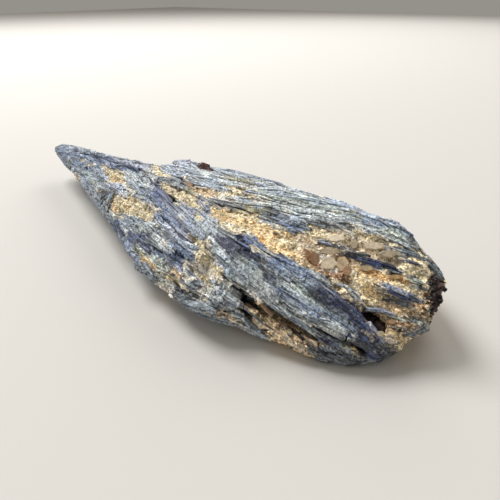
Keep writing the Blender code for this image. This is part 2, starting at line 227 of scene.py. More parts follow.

# %% [markdown]
# ## The map of minerals
# Kyanite zones run along the rock as long streaks, and quartz fills the pockets between them. The map is a
# list of strokes, as a painter would lay them. Each has a kind of mineral, the pixels it runs between and
# its half width. Some dark strokes are painted shade and not mineral: all the gaps, and some charcoal and
# umber strokes along edges, below blades and under the slab. Every point of the surface belongs to the
# stroke that is nearest for its width.

# %% Strokes on the seen side: pixel from, pixel to, half width in pixels
SEEN_STROKES = {
    "sky": (
        (168, 164, 196, 169, 4), (72, 169, 104, 178, 4), (206, 218, 224, 230, 6), (220, 256, 242, 276, 5),
        (173, 174, 215, 180, 3), (187, 182, 225, 189, 3), (262, 190, 296, 196, 2.5), (292, 206, 318, 209, 2),
        (240, 200, 262, 204, 3), (282, 214, 292, 222, 3), (196, 221, 204, 230, 2), (120, 188, 126, 192, 3),
        (300, 262, 312, 272, 3), (288, 292, 318, 312, 3.8), (180, 236, 196, 248, 3.5),
        (216, 282, 230, 298, 4),
    ),
    "lilac": (
        (112, 159, 150, 169, 1.8), (70, 148, 80, 150, 1.5), (108, 186, 122, 192, 3),
        (180, 160, 196, 164, 2.5), (376, 326, 386, 340, 3.5), (364, 309, 396, 317, 2),
        (176, 176, 186, 180, 2.5), (186, 206, 193, 212, 2.5), (330, 306, 352, 322, 2),
        (168, 229, 186, 238, 4.5), (170, 258, 184, 270, 2.5),
    ),
    "blue": (
        (62, 156, 82, 166, 3), (80, 164, 100, 175, 2.5), (66, 154, 90, 160, 2), (164, 206, 192, 224, 5),
        (56, 150, 64, 156, 3), (74, 152, 100, 159, 2.5), (106, 160, 140, 170, 2), (90, 179, 104, 179, 1.5),
        (161, 213, 178, 222, 5), (232, 272, 247, 280, 1.8), (272, 258, 302, 272, 5), (292, 300, 330, 318, 5),
        (350, 203, 370, 211, 2), (282, 222, 310, 230, 3), (396, 249, 424, 258, 1.8),
        (387, 288, 420, 301, 2.6), (246, 236, 262, 246, 3), (178, 242, 192, 258, 4), (150, 246, 164, 256, 3),
    ),
    "deep": (
        (60, 152, 66, 158, 2), (92, 157, 126, 169, 1.8), (150, 182, 178, 212, 4.2), (268, 284, 288, 294, 4),
        (276, 262, 296, 268, 2.5), (334, 300, 372, 331, 5), (356, 256, 398, 269, 2),
        (198, 201, 209, 212, 1.6), (300, 270, 310, 278, 2), (360, 335, 376, 352, 5), (134, 233, 146, 238, 3),
        (168, 252, 184, 268, 2.2), (164, 210, 182, 221, 3.4),
    ),
    "navy": (
        (152, 182, 176, 208, 3), (176, 217, 190, 228, 3.5), (226, 240, 248, 252, 6),
        (324, 292, 362, 326, 4.5), (330, 290, 352, 304, 3), (346, 316, 372, 342, 3.5),
        (352, 334, 378, 350, 5), (316, 337, 340, 345, 3), (404, 262, 418, 264, 1.8), (345, 255, 378, 262, 2),
        (398, 292, 420, 304, 3), (222, 239, 246, 250, 8), (262, 275, 280, 286, 3.5),
        (324, 288, 364, 320, 3.5), (345, 254, 375, 262, 2), (318, 336, 336, 344, 3), (352, 334, 366, 346, 4),
        (112, 165, 126, 171, 1.2), (360, 346, 380, 352, 4), (407, 262, 418, 266, 1.8),
        (118, 228, 124, 237, 3), (130, 236, 150, 247, 5), (175, 220, 185, 225, 3),
    ),
    "steel": (
        (172, 203, 196, 210, 3), (174, 176, 200, 181, 3), (312, 319, 342, 324, 3), (166, 170, 196, 178, 3),
        (80, 176, 96, 186, 2.5), (70, 152, 84, 158, 2), (262, 194, 340, 206, 2), (360, 208, 392, 222, 2),
        (60, 150, 56, 149, 2), (104, 190, 114, 196, 4), (134, 186, 150, 200, 4), (120, 216, 146, 222, 4),
        (186, 216, 206, 236, 3.5), (212, 224, 226, 236, 3), (246, 262, 262, 272, 3.5),
        (286, 270, 312, 284, 4), (296, 222, 312, 232, 3), (262, 218, 284, 226, 3), (322, 304, 346, 322, 4),
        (345, 322, 372, 346, 3), (390, 246, 424, 254, 3), (232, 312, 258, 330, 1.8), (356, 214, 390, 218, 2),
        (148, 202, 152, 210, 2.5), (186, 282, 206, 290, 4), (204, 298, 220, 306, 3), (142, 264, 156, 276, 3),
        (190, 250, 198, 262, 2),
    ),
    "slate": (
        (372, 212, 400, 230, 2), (166, 172, 182, 176, 1.8), (414, 260, 432, 270, 3), (422, 274, 434, 286, 3),
        (330, 334, 350, 346, 3), (366, 328, 384, 340, 3), (88, 172, 104, 184, 2), (66, 164, 80, 172, 3),
        (94, 194, 108, 212, 3), (100, 208, 114, 220, 3), (160, 180, 186, 188, 2.5),
        (318, 223, 345, 226, 2.5), (262, 258, 270, 270, 3), (248, 268, 262, 280, 2.2),
        (430, 264, 440, 276, 5), (405, 312, 426, 328, 5), (350, 352, 366, 362, 4), (404, 336, 430, 334, 3),
        (330, 294, 348, 310, 2), (345, 286, 362, 302, 3), (314, 346, 340, 355, 5), (330, 340, 352, 350, 3),
        (150, 222, 172, 231, 3.5), (158, 232, 176, 238, 2.5), (182, 296, 206, 308, 4),
        (174, 206, 190, 211, 1.6), (206, 304, 236, 316, 2.2),
    ),
    # charcoal: dark kyanite, and in places painted shade along edges and below blades
    "charcoal": (
        (378, 242, 394, 250, 1.2), (384, 300, 400, 304, 2.5), (404, 302, 422, 312, 3.5),
        (372, 262, 400, 272, 2), (390, 248, 402, 251, 1.4), (408, 263, 420, 265, 2),
        (390, 325, 412, 331, 1.4), (345, 340, 386, 350, 6), (398, 344, 416, 338, 2),
        (318, 332, 346, 338, 2.5), (306, 350, 330, 356, 3), (424, 246, 432, 254, 1.5),
        (286, 330, 300, 346, 1.2), (262, 328, 274, 336, 1.4), (252, 326, 260, 336, 2),
        (424, 262, 438, 276, 3), (418, 284, 428, 290, 2), (350, 340, 372, 350, 3), (300, 334, 318, 344, 2.5),
        (404, 324, 424, 318, 1.6), (402, 330, 416, 336, 1.6), (334, 328, 352, 340, 2.5),
        (72, 175, 96, 198, 2), (80, 149, 104, 154, 0.8), (212, 203, 240, 205, 3), (258, 213, 280, 221, 2),
        (256, 204, 280, 211, 1.6), (319, 241, 348, 249, 1.6), (314, 326, 346, 336, 4),
        (312, 288, 324, 300, 3), (256, 262, 268, 268, 3), (386, 299, 424, 313, 2.6), (345, 355, 360, 362, 4),
        (104, 200, 112, 216, 0.9), (280, 196, 290, 197, 1), (236, 197, 246, 198, 1),
        (384, 216, 400, 232, 1.2), (340, 252, 352, 257, 1.5), (322, 304, 338, 308, 1.5),
        (300, 206, 345, 209, 1), (194, 261, 208, 263, 1.3), (136, 256, 141, 268, 1.3),
        (176, 284, 196, 296, 4), (196, 292, 214, 304, 3), (150, 270, 160, 282, 2.5), (166, 262, 172, 274, 2),
        (124, 244, 134, 256, 1.5), (184, 256, 196, 262, 1.5),
    ),
    "silver": (
        (212, 290, 238, 303, 3.5), (220, 296, 236, 304, 3), (300, 208, 348, 213, 3.5),
        (334, 320, 352, 334, 3), (352, 226, 396, 236, 4), (404, 238, 424, 250, 3), (240, 280, 262, 296, 3),
        (262, 292, 286, 312, 3), (284, 312, 312, 332, 2.4), (238, 316, 250, 330, 2), (226, 308, 244, 314, 2),
        (404, 320, 418, 322, 2), (92, 185, 108, 190, 2.5), (130, 176, 150, 184, 4),
        (150, 172, 155, 180, 2.5), (178, 168, 196, 172, 2), (206, 172, 236, 184, 5), (222, 172, 262, 184, 2),
        (266, 185, 335, 199, 3), (262, 198, 300, 204, 3), (310, 214, 352, 221, 3), (340, 224, 400, 240, 5),
        (385, 236, 424, 250, 3), (214, 246, 236, 268, 4), (245, 268, 300, 314, 3.8),
        (284, 280, 306, 300, 4.5), (318, 274, 352, 306, 2.5), (318, 320, 346, 330, 3),
        (206, 232, 214, 242, 3), (240, 322, 262, 336, 3), (200, 216, 208, 222, 2), (380, 316, 402, 323, 2),
        (338, 322, 352, 332, 3), (124, 222, 127, 242, 1.5), (127, 229, 150, 230, 1.5),
        (138, 222, 150, 226, 2.5), (208, 222, 228, 235, 4), (156, 238, 170, 248, 2.5),
    ),
    "sage": (
        (374, 224, 400, 238, 3), (350, 214, 372, 222, 3), (282, 200, 330, 208, 3), (330, 208, 352, 214, 2.5),
        (356, 218, 380, 226, 3), (390, 228, 410, 240, 3), (216, 178, 244, 190, 2.5), (256, 192, 280, 198, 2),
        (88, 172, 100, 184, 3), (240, 256, 282, 292, 3), (300, 198, 345, 206, 2.5),
        (228, 262, 246, 284, 3.6), (412, 278, 424, 283, 3), (412, 318, 426, 326, 3), (296, 286, 310, 300, 3),
        (100, 176, 108, 186, 2), (136, 248, 152, 256, 4), (155, 257, 165, 267, 4), (146, 240, 160, 246, 2),
    ),
    "olive": (
        (220, 175, 253, 183, 2.3), (240, 208, 264, 214, 2.5), (188, 192, 196, 194, 2),
        (193, 203, 197, 208, 2.2), (354, 212, 362, 217, 2.5), (334, 282, 350, 296, 2),
        (340, 340, 352, 350, 3), (207, 200, 214, 204, 2), (160, 276, 166, 281, 2),
    ),
    "white": (
        (194, 262, 210, 271, 5.2), (82, 158, 92, 164, 2), (146, 204, 162, 212, 4), (128, 184, 134, 190, 2.5),
        (212, 190, 226, 193, 3), (320, 262, 334, 268, 6), (240, 284, 264, 300, 2.5), (240, 246, 262, 252, 3),
        (232, 186, 258, 192, 4), (228, 226, 248, 234, 3.3), (120, 196, 124, 194, 2), (256, 258, 262, 256, 2),
        (212, 196, 240, 200, 2.5), (356, 228, 384, 236, 3), (196, 196, 212, 202, 3), (196, 262, 206, 268, 3),
        (214, 276, 226, 288, 4), (160, 282, 172, 292, 3), (226, 286, 238, 292, 4), (205, 270, 214, 284, 3),
        (186, 268, 196, 276, 3),
    ),
    "buff": (
        (352, 240, 372, 252, 7), (374, 246, 398, 258, 5), (300, 240, 330, 250, 4), (318, 234, 350, 240, 4),
        (326, 249, 344, 254, 3), (350, 242, 396, 256, 5), (372, 250, 400, 258, 4.5), (354, 262, 362, 268, 2),
        (300, 246, 312, 250, 3), (336, 282, 348, 296, 3), (344, 286, 352, 300, 3),
    ),
    "cream": (
        (346, 228, 380, 238, 4), (384, 272, 402, 288, 3), (400, 252, 410, 258, 3), (352, 272, 366, 290, 5),
        (345, 300, 356, 310, 3), (380, 336, 400, 345, 3), (378, 290, 388, 300, 3), (398, 304, 410, 316, 2.5),
        (115, 198, 122, 205, 6), (122, 198, 148, 210, 6), (100, 184, 118, 173, 3), (106, 172, 124, 176, 2.8),
        (153, 172, 164, 176, 4), (164, 187, 176, 194, 4), (176, 196, 200, 206, 4.2),
        (142, 218, 150, 222, 3.5), (130, 212, 144, 216, 4), (196, 214, 202, 218, 2.5),
        (218, 224, 246, 232, 4), (236, 214, 284, 228, 4), (284, 240, 300, 248, 4), (310, 232, 350, 240, 5),
        (352, 232, 400, 248, 4), (356, 276, 376, 300, 7), (398, 262, 422, 273, 4.2), (205, 236, 214, 244, 2),
        (228, 186, 256, 196, 4), (400, 286, 424, 296, 4), (170, 204, 182, 206, 3), (216, 192, 262, 200, 2.5),
        (250, 246, 272, 256, 2.5), (425, 310, 436, 322, 3), (194, 240, 204, 256, 5.5),
        (200, 262, 216, 274, 5), (205, 278, 213, 285, 4), (168, 274, 180, 284, 3), (140, 252, 150, 260, 2),
    ),
    "amber": (
        (362, 280, 378, 296, 6), (392, 332, 410, 337, 4), (262, 312, 274, 320, 4), (246, 300, 258, 312, 3),
        (296, 346, 308, 354, 4), (356, 268, 372, 268, 3), (342, 339, 357, 351, 3), (116, 201, 130, 206, 3.5),
        (110, 178, 122, 182, 2.5), (216, 213, 240, 220, 4), (248, 226, 258, 230, 3), (258, 228, 276, 238, 5),
        (274, 246, 302, 262, 5), (302, 262, 318, 272, 2.5), (290, 346, 308, 354, 4), (386, 334, 406, 341, 4),
        (286, 236, 296, 240, 2.5), (364, 284, 374, 296, 4), (172, 192, 178, 198, 2.5),
        (352, 346, 358, 353, 2.5), (240, 220, 262, 226, 3), (235, 290, 239, 297, 3),
        (202, 246, 212, 258, 2.5), (208, 280, 212, 284, 2),
    ),
    "rust": (
        (222, 217, 240, 220, 2), (262, 312, 276, 318, 3), (358, 267, 374, 272, 3.5), (380, 274, 410, 284, 3),
        (280, 250, 296, 255, 2.2), (430, 298, 436, 306, 3), (80, 185, 88, 193, 2), (102, 210, 108, 213, 2.5),
        (256, 236, 270, 242, 1.5), (264, 224, 276, 230, 1.5),
    ),
    "tan": (
        (304, 334, 320, 345, 4), (385, 322, 398, 326, 3), (394, 314, 412, 318, 3), (288, 324, 300, 340, 7),
        (276, 318, 292, 330, 5), (420, 292, 426, 312, 3), (250, 316, 268, 328, 4), (80, 186, 90, 197, 3),
        (182, 184, 216, 194, 3.5), (300, 250, 308, 264, 2), (268, 326, 300, 344, 6), (260, 318, 280, 330, 4),
        (244, 302, 262, 314, 2.5), (208, 310, 222, 320, 3), (222, 311, 244, 327, 5), (380, 286, 396, 298, 3),
        (424, 296, 438, 330, 6), (400, 322, 416, 332, 3), (306, 338, 318, 346, 3), (366, 302, 376, 308, 3),
        (398, 340, 420, 338, 3), (404, 327, 424, 334, 2.5), (240, 330, 250, 336, 3), (374, 300, 400, 310, 3),
        (338, 228, 352, 236, 3), (145, 261, 155, 271, 3), (175, 268, 182, 273, 2.5),
    ),
    "smoke": (
        (309, 254, 319, 265, 5), (338, 262, 351, 276, 5), (186, 182, 196, 188, 2.5), (280, 321, 296, 327, 3),
        (384, 320, 408, 326, 2.5), (326, 272, 344, 280, 2.5), (412, 330, 426, 334, 3),
    ),
    # umber: dark brown quartz, and under the slab's edge painted shadow
    "umber": (
        (152, 180, 180, 189, 1.5), (182, 181, 188, 183, 1.8), (246, 300, 262, 314, 2.5),
        (334, 274, 352, 282, 1.3), (278, 249, 292, 254, 1.1), (386, 275, 402, 277, 1.2),
        (330, 278, 350, 300, 1.2), (360, 237, 378, 242, 1), (376, 316, 388, 332, 3), (434, 280, 442, 314, 5),
        (276, 232, 286, 240, 1), (262, 314, 278, 320, 2.4), (218, 204, 238, 208, 1.5),
        (394, 320, 420, 322, 1.2),
    ),
    # gap: painted shadow in cracks and under the slab's overhang
    "gap": (
        (316, 332, 344, 339, 2), (268, 303, 290, 304, 1.3), (290, 304, 306, 320, 1),
        (352, 345, 366, 352, 1.4), (238, 290, 244, 297, 1.4), (290, 326, 310, 346, 1),
        (151, 180, 172, 201, 1.1), (190, 217, 208, 234, 0.8), (293, 279, 303, 287, 1.2),
        (288, 306, 308, 321, 2), (222, 274, 240, 286, 1.2), (244, 297, 256, 307, 2.8),
        (222, 306, 226, 314, 1), (378, 242, 392, 247, 1), (290, 324, 312, 346, 1), (172, 198, 176, 200, 1.2),
        (364, 314, 376, 322, 3), (430, 282, 436, 286, 2), (160, 226, 168, 232, 0.8),
        (175, 251, 186, 260, 0.8), (240, 310, 252, 318, 2.6), (244, 262, 262, 276, 0.5),
    ),
}
print(sum(len(rows) for rows in SEEN_STROKES.values()), "strokes on the seen side")

# %% [markdown]
# ## Strokes where the camera can't see
# The back, the underside and the far end have no pixels, so their strokes are given by place instead. They
# keep the habit of the seen side: long streaks of blue with a few patches of quartz.

# %% Strokes on the hidden sides: place from, place to and half width, in millimetres
HIDDEN_STROKES = {
    "sky": (
        (-120, 12, 22, -60, 24, 22, 5), (-40, 34, 26, 20, 42, 26, 6), (60, 36, 34, 110, 32, 34, 5),
        (0, 20, 2, 60, 22, 2, 7),
    ),
    "lilac": (
        (-20, 38, 14, 30, 46, 16, 5), (80, 44, 14, 120, 36, 14, 5),
    ),
    "blue": (
        (-140, 14, 18, -100, 20, 16, 3), (-70, 30, 14, -20, 40, 12, 5), (30, 44, 28, 80, 46, 24, 5),
        (-60, -30, 12, 10, -48, 10, 5), (-20, -10, 0, 50, -20, 0, 6), (90, 30, 38, 128, 20, 32, 4),
    ),
    "deep": (
        (-30, 36, 6, 30, 40, 4, 4), (20, 36, 36, 70, 38, 34, 3), (-90, 10, 6, -40, 14, 3, 4),
    ),
    "navy": (
        (40, 46, 18, 80, 48, 16, 2.5), (-64, 28, 22, -36, 34, 22, 2),
    ),
    "steel": (
        (-110, -4, 14, -50, -10, 6, 6), (-90, 24, 12, -50, 30, 8, 4), (10, 44, 8, 60, 44, 6, 5),
        (60, -10, 0, 110, -10, 1, 7), (60, -52, 6, 90, -50, 4, 4), (0, 26, 40, 50, 28, 40, 4),
    ),
    "slate": (
        (-30, 16, 1, 20, 4, 0, 6), (30, 6, 0, 100, 10, 1, 6), (90, 40, 6, 124, 30, 6, 4),
    ),
    "charcoal": (
        (60, 44, 10, 90, 42, 8, 1.5), (-20, 40, 20, 8, 44, 21, 1.2), (-40, -26, 2, 0, -36, 1, 3),
    ),
    "silver": (
        (-60, 22, 26, -10, 32, 32, 4), (50, 42, 36, 100, 38, 30, 4), (-10, 44, 22, 40, 48, 22, 3),
        (-70, 0, 4, -20, 0, 1, 6),
    ),
    "sage": (
        (20, 46, 12, 56, 48, 12, 3), (-130, 16, 20, -90, 22, 20, 2),
    ),
    "olive": (
        (66, 46, 28, 84, 46, 27, 1.6),
    ),
    "white": (
        (-84, 26, 18, -70, 27, 18, 3), (86, 40, 24, 104, 38, 22, 4), (100, -20, 1, 124, -16, 2, 6),
    ),
    "cream": (
        (6, 44, 30, 22, 45, 32, 3.5), (106, 34, 20, 132, 24, 18, 6), (-10, 10, 0, 6, 8, 0, 4),
        (60, 20, 1, 84, 24, 2, 5), (128, 18, 24, 140, 8, 22, 6),
    ),
    "amber": (
        (96, 38, 16, 112, 35, 14, 3), (-50, 34, 16, -38, 36, 15, 2.5), (70, -30, 0, 92, -30, 0, 5),
    ),
    "rust": (
        (104, 36, 10, 124, 30, 9, 2.5), (30, 47, 22, 44, 48, 21, 1.5),
    ),
    "tan": (
        (110, 20, 3, 136, 12, 6, 6), (-6, 42, 10, 10, 43, 9, 3), (132, -10, 8, 144, -4, 14, 7),
        (140, 4, 14, 146, 0, 22, 6), (-100, -14, 18, -88, -18, 16, 3),
    ),
    "smoke": (
        (120, 28, 12, 130, 22, 12, 3), (40, 0, 0, 56, 0, 0, 4),
    ),
    "umber": (
        (136, 16, 14, 142, 10, 14, 2.5), (76, 45, 20, 92, 43, 19, 1.2),
    ),
}
print(sum(len(rows) for rows in HIDDEN_STROKES.values()), "strokes on the hidden sides")

# %% [markdown]
# ## Streak direction
# Kyanite splits along its blades, so every line on the rock follows the blades under it. A few guide strokes
# give that direction where it is plain to see. Between them it turns smoothly.

# %% Guides: pixel from and to on the seen side, then places in millimetres on the hidden sides
SEEN_GUIDES = (
    (56, 150, 100, 162), (72, 150, 148, 171), (68, 164, 108, 180), (76, 180, 100, 202), (96, 196, 112, 218),
    (102, 186, 148, 200), (118, 198, 150, 214), (151, 181, 176, 208), (160, 212, 196, 236),
    (186, 212, 212, 236), (206, 216, 240, 240), (214, 248, 252, 286), (240, 262, 296, 308),
    (256, 254, 310, 290), (270, 256, 330, 292), (322, 287, 370, 330), (292, 300, 345, 332),
    (255, 290, 300, 326), (318, 336, 350, 350), (352, 336, 378, 356), (126, 236, 160, 262),
    (160, 243, 192, 270), (132, 254, 168, 288), (166, 292, 214, 308), (200, 262, 222, 284),
    (222, 286, 240, 302), (226, 310, 262, 332), (256, 308, 300, 340), (270, 330, 306, 352),
    (164, 180, 208, 194), (172, 166, 216, 178), (222, 176, 254, 184), (240, 198, 300, 212),
    (264, 186, 348, 204), (256, 214, 300, 228), (300, 208, 352, 216), (300, 222, 372, 236),
    (352, 204, 392, 222), (214, 212, 300, 242), (270, 246, 318, 270), (300, 236, 350, 250),
    (345, 254, 398, 269), (350, 230, 400, 250), (396, 248, 430, 264), (380, 274, 424, 288),
    (388, 288, 420, 304), (364, 309, 400, 320), (340, 282, 364, 304), (404, 312, 430, 330),
    (386, 330, 412, 340), (402, 232, 430, 256), (432, 270, 440, 310),
)
HIDDEN_GUIDES = (
    (-140, 14, 18, -80, 24, 16), (-80, 24, 22, -20, 36, 26), (-60, 28, 10, 0, 42, 8),
    (-20, 38, 22, 60, 46, 26), (0, 42, 14, 70, 48, 12), (30, 40, 34, 100, 38, 30), (70, 46, 8, 120, 34, 8),
    (90, 40, 22, 136, 18, 18), (-110, 0, 12, -50, -6, 5), (-40, -10, 1, 40, -20, 0), (-20, 12, 0, 60, 16, 1),
    (40, -40, 0, 100, -36, 1), (60, 0, 0, 130, -4, 3), (-30, 30, 2, 50, 34, 1), (134, -10, 14, 144, -2, 22),
    (136, 12, 10, 146, 2, 18),
)
print(len(SEEN_GUIDES) + len(HIDDEN_GUIDES), "guides")

# %% [markdown]
# ## From rows to lines on the stone
# The tables are for people. For the sums they become arrays of lines with two ends and a half width, once,
# because tens of millions of distances are measured against them. A hidden row's width is turned into pixels
# at its own depth, so both tables then mean the same thing.

# %% Rows as lines in sight space
def lines_of(seen, hidden, names, hidden_width):
    """Number of the name, start, end and half width in pixels of every row in two tables."""
    lines = [(names.index(name), seen_spot(*row[:2]), seen_spot(*row[2:4]), row[4])
             for name, rows in seen.items() for row in rows]
    lines += [(names.index(name), on_surface(row[:3]), on_surface(row[3:6]), hidden_width(row))
              for name, rows in hidden.items() for row in rows]
    numbers, starts, ends, widths = (np.array(column) for column in zip(*lines))
    return numbers, sight(starts), sight(ends), widths.astype(float)


def width_in_pixels(row):
    """The half width of a hidden stroke, which is in millimetres, at its own depth."""
    return row[6] * FOCAL_PX / (depth_of(on_surface(row[:3])) / MM)


stroke_kind, stroke_start, stroke_end, stroke_width = lines_of(SEEN_STROKES, HIDDEN_STROKES, KINDS,
                                                               width_in_pixels)
guides = [(seen_spot(*row[:2]), seen_spot(*row[2:])) for row in SEEN_GUIDES]
guides += [(on_surface(row[:3]), on_surface(row[3:])) for row in HIDDEN_GUIDES]
guide_from, guide_to = (np.array(ends) for ends in zip(*guides))
guide_way = guide_to - guide_from
guide_way /= np.linalg.norm(guide_way, axis=1)[:, None]
print(len(stroke_kind), "strokes in all")

# %% Distance to lines, and the streak direction
STREAK_BLEND_MM = 2.0       # guides nearer than this count alike


def chunks(count, size):
    """Slices that cover this many rows, so that no step fills the memory."""
    return (slice(low, low + size) for low in range(0, count, size))


def away(points, start, end):
    """Distance from each point to each line piece, as an array of points by pieces."""
    line = end - start
    length2 = np.maximum((line ** 2).sum(axis=1), 1e-12)
    part = ((points[:, None] - start) * line).sum(axis=2) / length2
    nearest = start + np.clip(part, 0, 1)[..., None] * line
    return np.linalg.norm(points[:, None] - nearest, axis=2)


def flow(points, normals):
    """Streak direction at each point, lying in the surface."""
    found = np.zeros_like(points)
    for part in chunks(len(points), 20000):
        gap = away(points[part], guide_from, guide_to)
        found[part] = (1.0 / (gap / MM + STREAK_BLEND_MM) ** 3) @ guide_way
    found -= (found * normals).sum(axis=1)[:, None] * normals
    return found / np.maximum(np.linalg.norm(found, axis=1)[:, None], 1e-9)


print("streak at the tip", flow(seen_spot(60, 152)[None], np.array([[0.0, 0.0, 1.0]])).round(2))

# %% [markdown]
# ## Uneven by nature
# Nothing on a rock is even, so widths, edges and colours are all stirred by noise. One lattice of seeded
# random numbers, read smoothly between its points, gives as many sorts of noise as there are sizes and
# shifts. The same seed gives the same rock each time.

# %% Noise from a lattice of seeded random numbers
LATTICE = 64
lattice = np.random.default_rng(11).uniform(-1, 1, (LATTICE, LATTICE, LATTICE))


def noise(points, size, shift=0.0):
    """Smooth noise from -1 to 1 with features about this size, which is in the points' own unit."""
    place = np.asarray(points) / size + shift
    low = np.floor(place).astype(int)
    part = place - low
    part = part * part * (3 - 2 * part)
    total = np.zeros(len(place))
    for corner in range(8):
        step = np.array([corner & 1, corner >> 1 & 1, corner >> 2 & 1])
        share = np.prod(np.where(step, part, 1 - part), axis=1)
        at = (low + step) % LATTICE
        total += share * lattice[at[:, 0], at[:, 1], at[:, 2]]
    return total


print("noise at the tip", noise(seen_spot(60, 152)[None], 3 * MM).round(3))

# %% The mineral at any point
WAVERS = ((9 * MM, 3.1, 2.4), (3 * MM, 7.7, 1.6))       # size, shift and strength in pixels
NEARLY = 0.1                # half widths: keeps the share of two near strokes steady


def mineral_at(points):
    """Numbers of the nearest two strokes' kinds at each point, and how nearly the second is as near."""
    waver = [sum(noise(points, size, shift * axis) * strength for size, shift, strength in WAVERS)
             for axis in (1, 2, 3)]
    place = sight(points) + np.stack(waver, axis=1)
    first, second = np.zeros((2, len(points)), int)
    blur = np.zeros(len(points))
    for part in chunks(len(points), 8000):
        near = away(place[part], stroke_start, stroke_end) / stroke_width
        order = np.argsort(near, axis=1)[:, :2]
        first[part], second[part] = stroke_kind[order].T
        nearest, next_one = np.take_along_axis(near, order, axis=1).T + NEARLY
        blur[part] = nearest / next_one
    return first, second, blur


print("the tip is", KINDS[mineral_at(seen_spot(60, 152)[None])[0][0]])

# %% [markdown]
# ## Shader expressions
# A finish is easier to read as arithmetic than as a web of nodes. One small class stands for a value in a
# shader: adding or multiplying two of them adds the Math node that does it. Every other node comes from one
# method that takes the node's type, its settings and its inputs.

# %% Values in a shader
class Wire:
    """A value in a shader. Arithmetic on it adds Math nodes."""

    def __init__(self, finish, socket):
        self.finish = finish
        self.socket = socket

    def maths(self, operation, first, second):
        return self.finish.node("ShaderNodeMath", {"operation": operation}, {0: first, 1: second})

    def __add__(self, other):
        return self.maths("ADD", self, other)

    def __mul__(self, other):
        return self.maths("MULTIPLY", self, other)

    def __sub__(self, other):
        return self.maths("SUBTRACT", self, other)

    def __rsub__(self, other):
        return self.maths("SUBTRACT", other, self)

    __radd__ = __add__
    __rmul__ = __mul__


def paint(*rgb):
    """A display colour as a shader socket takes it."""
    return (*srgb(*rgb), 1)


print("white paint", paint(255, 255, 255))

# %% A material under construction
class Finish:
    """A material under construction, with its Principled shader."""

    def __init__(self, name, **constants):
        self.material = bpy.data.materials.new(name)
        self.material.use_nodes = True
        self.tree = self.material.node_tree
        self.shader = self.tree.nodes["Principled BSDF"]
        for socket, value in constants.items():
            self.shader.inputs[socket.replace("_", " ")].default_value = value

    def node(self, kind, settings, inputs, out=0):
        made = self.tree.nodes.new(kind)
        for name, value in settings.items():
            if name == "stops":
                ramp = made.color_ramp
                while len(ramp.elements) < len(value):
                    ramp.elements.new(0.5)
                for element, (place, colour) in zip(ramp.elements, value):
                    element.position = place
                    element.color = colour
            else:
                setattr(made, name, value)
        for name, value in inputs.items():
            if isinstance(value, Wire):
                self.tree.links.new(value.socket, made.inputs[name])
            else:
                made.inputs[name].default_value = value
        return Wire(self, made.outputs[out])

    def place(self):
        return self.node("ShaderNodeTexCoord", {}, {}, out="Object")

    def tint(self):
        """The colour that each point of the piece carries."""
        return self.node("ShaderNodeAttribute", {"attribute_name": "tint"}, {})

    def noise(self, vector, scale, detail, rough):
        inputs = {"Vector": vector, "Scale": scale, "Detail": detail, "Roughness": rough}
        return self.node("ShaderNodeTexNoise", {}, inputs)

    def stretched(self, vector, scale, turn=(0, 0, 0)):
        return self.node("ShaderNodeMapping", {}, {"Vector": vector, "Scale": scale, "Rotation": turn})

    def between(self, value, low, high):
        """Nought below low, one above high, and even in between."""
        return self.node("ShaderNodeMapRange", {}, {"Value": value, "From Min": low, "From Max": high})

    def grit(self, least, most):
        """A number from least to most that changes from one small grain to the next."""
        grain = self.between(self.noise(self.place(), 780.0, 2.0, 0.7), 0.38, 0.62)
        return grain * (most - least) + least

    def mix(self, share, first, second, blend="MIX"):
        settings = {"data_type": "RGBA", "blend_type": blend}
        return self.node("ShaderNodeMix", settings, {0: share, 6: first, 7: second}, out=2)

    def shaded(self, colour, shade):
        """The colour times a number."""
        grey = self.node("ShaderNodeCombineColor", {}, {"Red": shade, "Green": shade, "Blue": shade})
        return self.mix(1.0, colour, grey, "MULTIPLY")

    def wire(self, name, value):
        self.tree.links.new(value.socket, self.shader.inputs[name])

    def bump(self, height, distance, strength):
        inputs = {"Height": height, "Distance": distance, "Strength": strength}
        self.wire("Normal", self.node("ShaderNodeBump", {}, inputs))


print("shader helpers ready")

# %% [markdown]
# ## Kyanite finish
# A kyanite blade has a glassy to pearly face with fine lines along its length, where the crystal splits. Its
# blue is uneven: dark cores, pale edges and white threads. Each blade carries its own map, in millimetres
# along and across, so the lines always run with the blade. A white crust clings to the pale blades and thins
# out on the dark ones.

